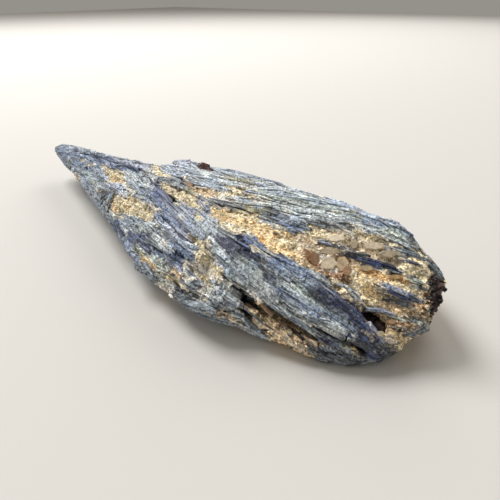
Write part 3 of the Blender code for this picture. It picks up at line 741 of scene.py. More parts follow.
# %% Kyanite finish
def kyanite_finish(name, crusted, gritty):
    """Kyanite with this much white crust and this much grit."""
    finish = Finish(name, Coat_Weight=0.08, Coat_Roughness=0.25, IOR=1.6)
    lie = finish.node("ShaderNodeUVMap", {"uv_map": "lie"}, {})
    place = finish.place()
    lines = finish.noise(finish.stretched(lie, (0.05, 0.6, 1)), 1.0, 4.0, 0.7)
    threads = finish.noise(finish.stretched(lie, (0.06, 0.75, 1)), 1.0, 3.0, 0.65)
    flecks = finish.noise(finish.stretched(lie, (0.3, 0.62, 1)), 1.0, 3.0, 0.75)
    cloud = finish.noise(place, 150.0, 5.0, 0.75)
    shade = finish.between(lines, 0.34, 0.66) * 0.7 + cloud * 0.8 + 0.2
    colour = finish.shaded(finish.tint(), shade * finish.grit(1 - gritty / 2, 1 + gritty / 2))
    white = finish.noise(finish.stretched(place, (1.0, 1.0, 1.0), (1.1, 0.7, 0.4)), 800.0, 2.0, 0.7)
    crust = finish.between(flecks * 0.8 + cloud * 0.7 + white * 1.3, 1.44, 1.58)
    pale = finish.node("ShaderNodeRGBToBW", {}, {"Color": finish.tint()})
    clinging = (finish.between(pale, 0.03, 0.25) * 0.65 + 0.35) * crusted
    colour = finish.mix(crust * clinging, colour, paint(212, 215, 214))
    dark_thread = (1 - finish.between(threads, 0.4, 0.47)) * 0.85
    finish.wire("Base Color", finish.mix(dark_thread, colour, paint(34, 38, 50)))
    finish.wire("Roughness", finish.between(cloud, 0.3, 0.7) * 0.3 + 0.28)
    finish.bump(lines + threads * 0.5 + crust * 0.3, 0.0008, 0.7)
    return finish.material


kyanite = kyanite_finish("kyanite_blade", 0.7, 1.4)
clean_kyanite = kyanite_finish("clean_kyanite", 0.45, 1.0)
print("finishes", kyanite.name, clean_kyanite.name)

# %% [markdown]
# ## Rock, quartz and garnet finishes
# Under the blades the rock is a dull, dimpled ground. The quartz of the vein is sugary and stained by rust,
# its large crystals are half clear and cloudy inside, and garnet is almost black, with dark red where it is
# chipped. All of them take the tint that each point carries and stir it with noise of their own, so one
# finish serves every colour of the stone.

# %% Rock surface and quartz finishes
STONE_GRIT = (0.42, 1.57)   # darkest and lightest grain, as a share of the tint


def ground_finish():
    finish = Finish("rock_ground", IOR=1.5)
    place = finish.place()
    cloud = finish.noise(place, 420.0, 5.0, 0.7)
    cells = finish.node("ShaderNodeTexVoronoi", {}, {"Vector": place, "Scale": 620.0}, out="Distance")
    specks = finish.noise(place, 700.0, 3.0, 0.6)
    shade = finish.between(cloud, 0.3, 0.7) * 0.4 + 0.75
    colour = finish.shaded(finish.tint(), shade * finish.grit(*STONE_GRIT))
    dark_speck = (1 - finish.between(specks, 0.34, 0.42)) * 0.25
    finish.wire("Base Color", finish.mix(dark_speck, colour, paint(90, 74, 56)))
    finish.wire("Roughness", cloud * 0.4 + 0.35)
    finish.bump(cells + cloud, 0.0007, 0.7)
    return finish.material


def quartz_finish():
    finish = Finish("sugary_quartz", Coat_Weight=0.1, Coat_Roughness=0.15, IOR=1.54)
    place = finish.place()
    cloud = finish.noise(place, 520.0, 4.0, 0.65)
    stain = finish.noise(place, 160.0, 4.0, 0.65)
    shade = finish.between(cloud, 0.3, 0.7) * 0.3 + 0.85
    colour = finish.shaded(finish.tint(), shade * finish.grit(*STONE_GRIT))
    rusty = finish.between(stain, 0.58, 0.7) * 0.25
    finish.wire("Base Color", finish.mix(rusty, colour, paint(190, 156, 108)))
    finish.wire("Roughness", cloud * 0.4 + 0.15)
    finish.bump(cloud, 0.0006, 0.7)
    return finish.material


ground = ground_finish()
quartz = quartz_finish()
print("finishes", ground.name, quartz.name)

# %% Large quartz crystal and garnet finishes
def crystal_finish():
    finish = Finish("clear_quartz", Roughness=0.5, IOR=1.54, Transmission_Weight=0.12)
    cloud = finish.noise(finish.place(), 400.0, 5.0, 0.8)
    finish.wire("Base Color", finish.shaded(finish.tint(), finish.between(cloud, 0.34, 0.66) * 0.7 + 0.6))
    finish.bump(cloud, 0.0006, 0.6)
    return finish.material


def garnet_finish():
    finish = Finish("garnet", Coat_Weight=0.05, Coat_Roughness=0.2, IOR=1.6)
    cloud = finish.noise(finish.place(), 380.0, 5.0, 0.7)
    stops = ((0.4, paint(14, 6, 5)), (0.58, paint(60, 24, 15)), (0.72, paint(140, 84, 52)))
    red = finish.node("ShaderNodeValToRGB", {"stops": stops}, {"Fac": cloud})
    finish.wire("Base Color", finish.mix(1.0, red, finish.tint(), "MULTIPLY"))
    finish.wire("Roughness", cloud * 0.5 + 0.25)
    finish.bump(cloud, 0.0015, 0.8)
    return finish.material


clear_quartz = crystal_finish()
garnet = garnet_finish()
print("finishes", clear_quartz.name, garnet.name)

# %% [markdown]
# ## Making a piece
# Each piece is one mesh at the origin that rides on the rock's body. A few helpers make it, read its numbers
# as arrays, give every point its tint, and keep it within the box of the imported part.

# %% Piece helpers
BOX_INSET = 0.02 * MM
BOX_LOW = np.array(cad_box[0]) + BOX_INSET
BOX_HIGH = np.array(cad_box[1]) - BOX_INSET


def new_piece(name, mesh, material):
    piece = bpy.data.objects.new(name, mesh)
    bpy.context.scene.collection.objects.link(piece)
    dress(mesh, material)
    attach(piece, "root")
    return piece


def dress(mesh, material):
    mesh.materials.clear()
    mesh.materials.append(material)


def applied(piece):
    """The piece's mesh with its modifiers worked in."""
    graph = bpy.context.evaluated_depsgraph_get()
    mesh = bpy.data.meshes.new_from_object(piece.evaluated_get(graph))
    piece.modifiers.clear()
    piece.data = mesh
    return mesh


def numbers_of(rows, what, width=1, kind=np.float32):
    """One value, or several side by side, that every row of a mesh's list has."""
    flat = np.zeros(len(rows) * width, kind)
    rows.foreach_get(what, flat)
    found = flat.reshape(-1, width) if width > 1 else flat
    return found.astype(float) if kind is np.float32 else found


def set_points(mesh, points):
    """Moves the mesh's points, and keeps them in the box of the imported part."""
    mesh.vertices.foreach_set("co", np.clip(points, BOX_LOW, BOX_HIGH).astype(np.float32).ravel())
    mesh.update()


def set_tint(mesh, colours):
    layer = mesh.color_attributes.new("tint", "FLOAT_COLOR", "POINT")
    rgba = np.concatenate([colours, np.ones((len(colours), 1))], axis=1)
    layer.data.foreach_set("color", rgba.astype(np.float32).ravel())


print("box for the pieces", BOX_LOW.round(4), BOX_HIGH.round(4))

# %% [markdown]
# ## The rock surface
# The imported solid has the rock's ledges in large flat facets. Remeshing a copy of it with small even voxels
# gives a surface with enough points to carry fine relief, and it stays one closed skin. Moving its points in
# and out along the streaks then roughens it, and the open cracks are pressed in.

# %% Rock surface
VOXEL = 0.95 * MM

raw = bpy.data.meshes.new("rock_surface")
rock_form.to_mesh(raw)
rock = new_piece("rock_surface", raw, ground)
step = rock.modifiers.new("even", "REMESH")
step.mode = "VOXEL"
step.voxel_size = VOXEL
dress(applied(rock), ground)
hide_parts("kyanite_rock")
print("rock surface", len(rock.data.polygons), "faces")

# %% What lies at each point of the rock
SMOOTH_ROUNDS = 8

surface = numbers_of(rock.data.vertices, "co", 3)
edges = numbers_of(rock.data.edges, "vertices", 2, np.int32)
degree = np.bincount(edges.ravel(), minlength=len(surface))[:, None]


def spread(values, rounds):
    """Values at the rock's points, each round averaged with its neighbours."""
    for _ in range(rounds):
        total = np.zeros_like(values)
        for axis in range(values.shape[1]):
            total[:, axis] = np.bincount(edges[:, 0], values[edges[:, 1], axis], len(values))
            total[:, axis] += np.bincount(edges[:, 1], values[edges[:, 0], axis], len(values))
        values = (values + total) / (1 + degree)
    return values


facing = spread(numbers_of(rock.data.vertices, "normal", 3), SMOOTH_ROUNDS)
facing /= np.linalg.norm(facing, axis=1)[:, None]
way = flow(surface, facing)
first, second, blur = mineral_at(surface)
print("commonest kind", KINDS[np.bincount(first).argmax()], "over", len(surface), "points")

# %% [markdown]
# ## Habits
# The blades don't lie in one way all over. On the main slab they are long, straight and flush. On the front
# lobe they are short and tumbled. On the back ridge they are thin. Each habit is a row of numbers, and a few
# broad strokes say where it grows.

# %% Habits: length, width and rise in millimetres, sway and roll in degrees, layers, share of quartz specks
Habit = namedtuple("Habit", "length width rise sway roll layers specks")
HABITS = {
    "slab": Habit((10, 44), (1.4, 7.0), (0.0, 0.3), 2.0, 3, 5.0, 0.0),
    "lobe": Habit((3, 11), (0.9, 2.8), (0.0, 0.4), 14, 16, 4.6, 0.1),
    "tip": Habit((5, 24), (1.0, 3.4), (0.0, 0.4), 7, 12, 4.6, 0.1),
    "ridge": Habit((8, 40), (0.8, 3.2), (0.0, 0.6), 4, 12, 5.0, 0.14),
    "right": Habit((4, 20), (0.9, 3.6), (0.0, 0.7), 8, 15, 4.6, 0.15),
    "foot": Habit((5, 20), (1.0, 3.6), (0.0, 0.7), 8, 16, 4.6, 0.12),
    "back": Habit((9, 34), (1.5, 5.5), (0.0, 0.7), 6, 12, 3.0, 0.1),
}
HABIT_NAMES = list(HABITS)
SEEN_HABITS = {
    "slab": ((160, 196, 230, 250, 14), (230, 250, 370, 335, 22)),
    "lobe": ((125, 232, 170, 262, 20), (170, 262, 236, 296, 18)),
    "tip": ((56, 150, 110, 180, 14), (110, 180, 160, 205, 20)),
    "ridge": ((160, 172, 250, 190, 12), (250, 190, 400, 232, 18)),
    "right": ((300, 240, 420, 270, 20), (380, 290, 430, 320, 24)),
    "foot": ((100, 210, 165, 295, 5), (200, 310, 330, 355, 12), (345, 345, 400, 345, 10)),
}
HIDDEN_HABITS = {"back": ((-130, 18, 18, -20, 40, 16), (-20, 42, 20, 130, 24, 20), (-60, 0, 2, 30, 0, 0),
                          (30, 0, 0, 130, 0, 2))}
HIDDEN_HABIT_WIDTH = 24     # pixels

habit_kind, habit_start, habit_end, habit_width = lines_of(SEEN_HABITS, HIDDEN_HABITS, HABIT_NAMES,
                                                           lambda row: HIDDEN_HABIT_WIDTH)
habit = habit_kind[(away(sight(surface), habit_start, habit_end) / habit_width).argmin(axis=1)]
SLAB, LOBE, RIGHT_END = (HABIT_NAMES.index(name) for name in ("slab", "lobe", "right"))
print({name: int((habit == number).sum()) for number, name in enumerate(HABIT_NAMES)})

# %% [markdown]
# ## Colour of the ground
# Pale specks of quartz and silvery kyanite are scattered through the blue, thickest on the ridge and the
# right end. Where two kinds of the same mineral meet, their colours run into each other, as they do in one
# crystal, while quartz against kyanite keeps a sharp edge.

# %% Streaks, specks and colour of the ground
STREAK_STEPS = np.linspace(-7, 7, 13) * MM
SPECK_KINDS = np.array([KINDS.index(kind) for kind in ("cream", "white", "silver")])
SPECK_LEVEL = 1.05          # noise above this is a speck, less three times the habit's share of specks
BLUR_FROM, BLUR_MOST = 0.7, 0.5


def streaks(points, ways, size, shift=0.0):
    """Noise drawn out along the streak direction, from about -1 to 1."""
    total = sum(noise(points + ways * reach, size, shift) for reach in STREAK_STEPS)
    return total / len(STREAK_STEPS) ** 0.5


speck = noise(surface, 7 * MM, 2.2) + 0.4 * noise(surface, 2.6 * MM, 6.1)
speck += 0.4 * streaks(surface, way, 2.5 * MM)
share = np.array([row.specks for row in HABITS.values()])[habit]
speckled = IS_KYANITE[first] & (speck > SPECK_LEVEL - 3.0 * share)
speck_pick = (np.abs(noise(surface, 6 * MM, 8.3)) * 14).astype(int) % len(SPECK_KINDS)
kind = np.where(speckled, SPECK_KINDS[speck_pick], first)

tone = np.abs(noise(surface, 3.1 * MM, 4.4) + 0.4 * noise(surface, 1.3 * MM, 7.4))
pick = np.where(habit == SLAB, 0, (tone * 3.2).astype(int).clip(0, 2))
alike = (IS_KYANITE[first] == IS_KYANITE[second]) & ~speckled
soft = (np.clip((blur - BLUR_FROM) / (1 - BLUR_FROM), 0, 1) * BLUR_MOST * alike)[:, None]
ground_colour = COLOURS[kind, pick] * (1 - soft) + COLOURS[second, pick] * soft
print("speckled", round(speckled.mean(), 3), "blended", round((soft > 0).mean(), 3))

# %% [markdown]
# ## Relief of the ground
# Kyanite ground is ribbed along its streaks, and quartz ground is knobbly. Both are noise that moves the
# points in and out by a millimetre or so. Cracks are pressed in by two millimetres more. The tint of the
# ground also carries painted shade and light: cracks are painted almost black, the kyanite ground between
# the blades darker, less so on the slab, and the raised lumps of quartz lighter.

# %% Relief and shade of the ground
CRACK_DEPTH_MM = 2.0
CRACK_REACH = 1.6           # half widths of the crack's stroke


def gap_depth(points):
    """How deep an open crack is at each point, from 0 to 1."""
    rows = stroke_kind == KINDS.index("gap")
    near = away(sight(points), stroke_start[rows], stroke_end[rows]) / stroke_width[rows]
    return np.clip(CRACK_REACH - near.min(axis=1), 0, 1)


cracked = gap_depth(surface)
fine = streaks(surface, way, 1.1 * MM)
broad = streaks(surface, way, 2.6 * MM, 5.3)
lumps = noise(surface, 2.8 * MM, 1.7) + 0.7 * noise(surface, 1.3 * MM, 9.1)
knobs = noise(surface, 5 * MM, 3.3)
stony = IS_QUARTZ[kind]
relief = np.where(stony, lumps * 0.32 + knobs * 0.6 - 0.2, fine * 0.25 + broad * 0.4)
relief += np.where(habit == LOBE, knobs * 0.9, 0.0)
relief -= CRACK_DEPTH_MM * cracked
surface = surface + facing * relief[:, None] * MM
set_points(rock.data, surface)

# Painted shade and light: raised quartz lumps lighter, kyanite ground between the blades darker (less on the
# slab), cracks almost black.
shade = np.where(stony, 0.97 + 0.22 * lumps + 0.16 * knobs, np.where(habit == SLAB, 0.75, 0.42) + 0.2 * fine)
shade = np.clip(shade, 0.15, 1.3) * (1 - 0.9 * cracked)
set_tint(rock.data, ground_colour * shade[:, None])
print("relief from", round(relief.min(), 2), "to", round(relief.max(), 2), "mm")

# %% [markdown]
# ## Asking the ground
# A blade is laid on the ground that is there, so it asks for the nearest point of the rough surface and for
# that point's mineral. A search tree answers the first exactly. For the second a coarse grid of point
# numbers is enough, and it answers for a whole array of places at once.

# %% The number of a rock point beside any place near the rock
GRID_STEP = 1.2 * MM
GRID_MARGIN = 4             # cells filled outwards from the surface, and left round the box
grid_low = np.array(cad_box[0]) - GRID_MARGIN * GRID_STEP


def ground_grid():
    size = np.ceil((np.array(cad_box[1]) - grid_low) / GRID_STEP).astype(int) + GRID_MARGIN
    grid = np.full(size, -1, np.int32)
    cell = ((surface - grid_low) / GRID_STEP).astype(int)
    grid[cell[:, 0], cell[:, 1], cell[:, 2]] = np.arange(len(surface))
    for _ in range(GRID_MARGIN):
        for axis in range(3):
            for side in (-1, 1):
                grid = np.where(grid < 0, np.roll(grid, side, axis), grid)
    return grid


ground_cells = ground_grid()


def ground_at(points):
    cell = ((points - grid_low) / GRID_STEP).astype(int)
    cell = np.clip(cell, 0, np.array(ground_cells.shape) - 1)
    return ground_cells[cell[:, 0], cell[:, 1], cell[:, 2]]


print("grid", ground_cells.shape)

# %% The ground's faces, and the nearest place on it
rock_shape = bmesh.new()
rock_shape.from_mesh(rock.data)
ground_tree = BVHTree.FromBMesh(rock_shape)
rock_shape.free()

face_centre = numbers_of(rock.data.polygons, "center", 3)
face_area = numbers_of(rock.data.polygons, "area")
first_corner = numbers_of(rock.data.polygons, "loop_start", kind=np.int32)
face_point = numbers_of(rock.data.loops, "vertex_index", kind=np.int32)[first_corner]


def nearest_ground(spot):
    return np.array(ground_tree.find_nearest(Vector(spot))[0])


print("ground area", round(face_area.sum() / MM ** 2), "mm2")

# %% [markdown]
# ## Blades
# The look of kyanite is thousands of flat blades lying side by side. One blade is a lath with bevelled long
# edges and ends that were snapped at a slant. A few such laths are modelled once. Copies are then laid over
# the rock along the streak direction, a little sunk in, each with its own length, width and colour.

# %% Blade shapes
RING_COUNTS = (3, 5, 8)     # rings of points in a short, middling and long blade
SHAPES_EACH = 5
TAPER_FROM, TAPER = 0.2, 0.6
draw = np.random.default_rng(2024)


def arrays_of(form):
    """Points and triangles of a bmesh, which is then let go."""
    bmesh.ops.triangulate(form, faces=form.faces)
    form.verts.index_update()
    points = np.array([v.co[:] for v in form.verts])
    sides = np.array([[v.index for v in f.verts] for f in form.faces])
    form.free()
    return points, sides


def blade_shape(rings, slant, bevel, ridge):
    """Points and faces of a lath one unit long, wide and thick, with this many rings of points."""
    bm = bmesh.new()
    bmesh.ops.create_cube(bm, size=1.0)
    long_edges = [e for e in bm.edges if abs(e.verts[0].co.x - e.verts[1].co.x) > 0.5
                  and e.verts[0].co.z > 0]
    bmesh.ops.bevel(bm, geom=long_edges, offset=bevel, offset_type="OFFSET", affect="EDGES", segments=1,
                    profile=0.5, material=-1)
    for cut in np.linspace(-0.5, 0.5, rings)[1:-1]:
        everything = bm.verts[:] + bm.edges[:] + bm.faces[:]
        bmesh.ops.bisect_plane(bm, geom=everything, plane_co=(cut, 0, 0), plane_no=(1, 0, 0))
    for vert in bm.verts:
        if vert.co.x > 0.49:
            vert.co.x -= slant[0] * (0.5 + vert.co.y) + slant[1] * (0.5 + vert.co.z)
        if vert.co.x < -0.49:
            vert.co.x += slant[2] * (0.5 - vert.co.y) + slant[3] * (0.5 + vert.co.z)
        if vert.co.z > 0.4 and vert.co.y > 0:
            vert.co.z -= ridge
        vert.co.y *= 1.0 - TAPER * max(0.0, abs(vert.co.x) - TAPER_FROM)
    bmesh.ops.recalc_face_normals(bm, faces=bm.faces)
    return arrays_of(bm)


blade_shapes = [[blade_shape(rings, draw.uniform(0, 0.16, 4), draw.uniform(0.12, 0.3),
                             draw.uniform(0, 0.12)) for _ in range(SHAPES_EACH)] for rings in RING_COUNTS]
print("blade faces", [len(row[0][1]) for row in blade_shapes])

# %% [markdown]
# ## Seating a blade
# A stiff blade on a bumpy ground touches it near both ends, like a ruler on gravel. So the ends are dropped
# onto the ground first. The blade is then lifted until the ground between them no longer stands above it,
# and a blade that would hang over a hollow is made shorter.

# %% Seating a blade
CHORD_SPOTS = (0.12, 0.3, 0.5, 0.7, 0.88)
SEAT_TRIES = 5
MOST_OFF = 0.9 * MM         # a blade that is farther than this off the ground anywhere is made shorter
SHORTER = 0.65


def unit(vector):
    return vector / np.linalg.norm(vector)


def turned(vector, axis, angle):
    """A vector turned about a unit axis that is square to it."""
    return vector * np.cos(angle) + np.cross(axis, vector) * np.sin(angle)


def square_to(along, normal, roll):
    """The part of a normal that is square to the blade, rolled about it by this many degrees."""
    return turned(unit(normal - (normal @ along) * along), along, np.radians(roll))


def steps_to_ground(low, high):
    """From spots along a blade's chord to the ground."""
    spots = [low + (high - low) * part for part in CHORD_SPOTS]
    return np.array([nearest_ground(spot) - spot for spot in spots])


def seat(centre, along, normal, length):
    """The two ends of a blade whose chord lies on the rock, and how high the rock stands over the chord."""
    for _ in range(SEAT_TRIES):
        low, high = (nearest_ground(centre + along * length * side) for side in (-0.5, 0.5))
        steps = steps_to_ground(low, high)
        if np.linalg.norm(steps, axis=1).max() < MOST_OFF:
            return low, high, max(0.0, (steps @ normal).max())
        length *= SHORTER
    return None


print("blades rest on", len(CHORD_SPOTS), "spots")

# %% [markdown]
# ## Many small shapes in one mesh
# Thousands of separate objects would be slow to handle, so all the blades of one habit are gathered into one
# mesh, straight from arrays. Each blade also gets its own map, "lie", in millimetres along and across it,
# which the kyanite finish draws its lines on.

# %% Joined meshes
SIDE_SHARE = 0.7            # how much a blade's thickness counts across its map


def gathered(shapes):
    """Shapes as one: each row holds points, faces, then values for each point."""
    starts = np.cumsum([0] + [len(row[0]) for row in shapes[:-1]])
    points, faces, *values = zip(*shapes)
    faces = [sides + start for sides, start in zip(faces, starts)]
    return [np.concatenate(column) for column in (points, faces, *values)]


def joined_mesh(name, points, faces, colours, lies=None):
    """One mesh from many small closed shapes, given as arrays."""
    mesh = bpy.data.meshes.new(name)
    mesh.vertices.add(len(points))
    mesh.loops.add(faces.size)
    mesh.polygons.add(len(faces))
    mesh.loops.foreach_set("vertex_index", faces.ravel().astype(np.int32))
    mesh.polygons.foreach_set("loop_start", np.arange(0, faces.size, 3, dtype=np.int32))
    set_points(mesh, points)
    mesh.validate()
    mesh.shade_flat()
    set_tint(mesh, colours)
    if lies is not None:
        layer = mesh.uv_layers.new(name="lie")
        layer.data.foreach_set("uv", lies[faces.ravel()].astype(np.float32).ravel())
    return mesh


def laid_blade(shape, size, middle, along, normal, shift):
    """A blade's points in place, and their map. Size is length, width and thickness in millimetres."""
    points = middle + (shape * size * MM) @ np.array([along, np.cross(normal, along), normal])
    lie = shape[:, :2] * np.abs(size[:2])
    lie[:, 1] += shape[:, 2] * size[2] * SIDE_SHARE
    return points, lie + shift


print("two laths joined:", [column.shape for column in gathered(blade_shapes[0][:2])])

# %% [markdown]
# ## Laying the blades
# Spots are drawn at random over the rock's faces. A spot in kyanite grows a blade of that place's habit, and
# wide blades are drawn less often, so that small and large ones cover like areas. The blade's own colour is
# mixed with the colour of the ground under each of its points, so zones of blue run on through many blades.

# %% Laying blades on the rock
SPOTS_PER_MM2 = 1.3
BLADE_SKEW = 1.3            # above 1, short and narrow blades are commoner
WIDEST = 0.35               # width, as a share of the length
THICKNESS = (0.5, 0.9)      # as a share of the width
SHORTEST_MM = 2.0
THINNEST_MM = 1.3
RING_LENGTHS = (8, 18)      # a blade as long as this has more rings of points
MAP_SPREAD = 400            # millimetres over which the blades' maps are scattered
# The top of a blade keeps its colour, and its sides are painted darker as painted shade.
TOP_FROM = 0.2              # points above this part of the thickness take the light of the top
SLAB_SIDE_SHADE, SIDE_SHADE = 0.7, 0.35
TONE_SPREAD = 0.13


def drawn_size(rng, low, high):
    return low * (high / low) ** rng.random() ** BLADE_SKEW


def grown_blade(rng, spot):
    """Points, faces, map, painted side shade and tone, and owner of a blade at this face of the rock, or
    nothing if none grows.
    """
    mine = face_point[spot]
    grows = HABITS[HABIT_NAMES[habit[mine]]]
    length = drawn_size(rng, *grows.length)
    width = min(drawn_size(rng, *grows.width), length * WIDEST)
    if rng.random() > grows.layers / (length * width) / SPOTS_PER_MM2:
        return None
    along = turned(way[mine], facing[mine], np.radians(rng.normal(0, grows.sway)))
    seated = seat(face_centre[spot], along, facing[mine], length * MM)
    if seated is None:
        return None
    low, high, over = seated
    length = np.linalg.norm(high - low) / MM
    if length < SHORTEST_MM:
        return None
    along = unit(high - low)
    normal = square_to(along, facing[mine], rng.normal(0, grows.roll))
    shape, sides = blade_shapes[np.searchsorted(RING_LENGTHS, length, "right")][rng.integers(SHAPES_EACH)]
    flip = rng.choice((-1, 1))
    thick = max(THINNEST_MM, width * rng.uniform(*THICKNESS))
    top = over + rng.uniform(*grows.rise) * MM
    middle = (low + high) / 2 + normal * (top - thick * MM / 2)
    size = np.array([length * flip, width * flip, thick])
    points, lie = laid_blade(shape, size, middle, along, normal, rng.uniform(0, MAP_SPREAD, 2))
    side_shade = SLAB_SIDE_SHADE if habit[mine] == SLAB else SIDE_SHADE
    # Painted shade: the blade's sides are darker than its top, times a random tone for the whole blade.
    painted_light_and_tone = np.where(shape[:, 2] > TOP_FROM, 1.0, side_shade) * np.exp(rng.normal(0, TONE_SPREAD))
    return points, sides, lie, painted_light_and_tone, np.full(len(shape), mine)


print("spots for blades", int(face_area.sum() / MM ** 2 * SPOTS_PER_MM2))

# %% Colours of laid blades, and the blades of each habit
COLOUR_SHARES = (0.5, 0.78)  # chances, added up, of the first two of a kind's three colours
STRAY_CHANCE = 0.12         # of a blade in the colour of the stroke next to its own
OWN_LEAST = 0.08            # share of its own colour that every blade keeps
SLAB_OWN_MORE, OWN_MORE = 0.3, 0.6
OWN_ON_QUARTZ = 0.3
UNCRACKED = 0.1


def blade_colours(rng, blades, points, owners):
    """Each point's colour: some of the blade's own, and the rest that of the ground under the point."""
    picks = rng.random((len(blades), 3))
    which = np.repeat(np.arange(len(blades)), [len(blade[0]) for blade in blades])
    under = ground_at(points)
    strayed = (picks[which, 0] < STRAY_CHANCE) & IS_KYANITE[second[owners]]
    own = np.where(strayed, second[owners], kind[owners])
    own = COLOURS[own, np.searchsorted(COLOUR_SHARES, picks[which, 1])]
    share = OWN_LEAST + np.where(habit[owners] == SLAB, SLAB_OWN_MORE, OWN_MORE) * picks[which, 2] ** 3
    share = np.where(IS_QUARTZ[kind[under]], OWN_ON_QUARTZ, share)[:, None]
    return ground_colour[under] * (1 - share) + own * share


def lay_blades(name, habit_names, seed):
    """Blades of these habits, laid as one piece."""
    rng = np.random.default_rng(seed)
    number = int(face_area.sum() / MM ** 2 * SPOTS_PER_MM2)
    spots = rng.choice(len(face_area), number, p=face_area / face_area.sum())
    owner = face_point[spots]
    keep = IS_KYANITE[kind[owner]] & (cracked[owner] < UNCRACKED)
    keep &= np.isin(habit[owner], [HABIT_NAMES.index(n) for n in habit_names])
    blades = [blade for blade in (grown_blade(rng, spot) for spot in spots[keep]) if blade]
    points, faces, lies, painted_light_and_tone, owners = gathered(blades)
    # The blades' colours carry their painted side shade.
    colours = blade_colours(rng, blades, points, owners) * painted_light_and_tone[:, None]
    print(name, len(blades), "blades,", len(faces), "triangles")
    return new_piece(name, joined_mesh(name, points, faces, colours, lies), kyanite)


lay_blades("slab_blades", ("slab",), 1)
lay_blades("lobe_blades", ("lobe", "foot"), 2)
lay_blades("tip_blades", ("tip",), 3)
lay_blades("ridge_blades", ("ridge", "right"), 4)
lay_blades("back_blades", ("back",), 5)

# %% [markdown]
# ## Blades that show singly
# Some blades catch the eye one at a time: dark ones in the seam, whose dark blue also paints the seam's
# shadow, silver ones on the edge of the slab, and glassy streaks of brown quartz under it. Chance would not
# put them there, so each is a row of its own. They have less crust, because a blade that stands clear has
# been washed.

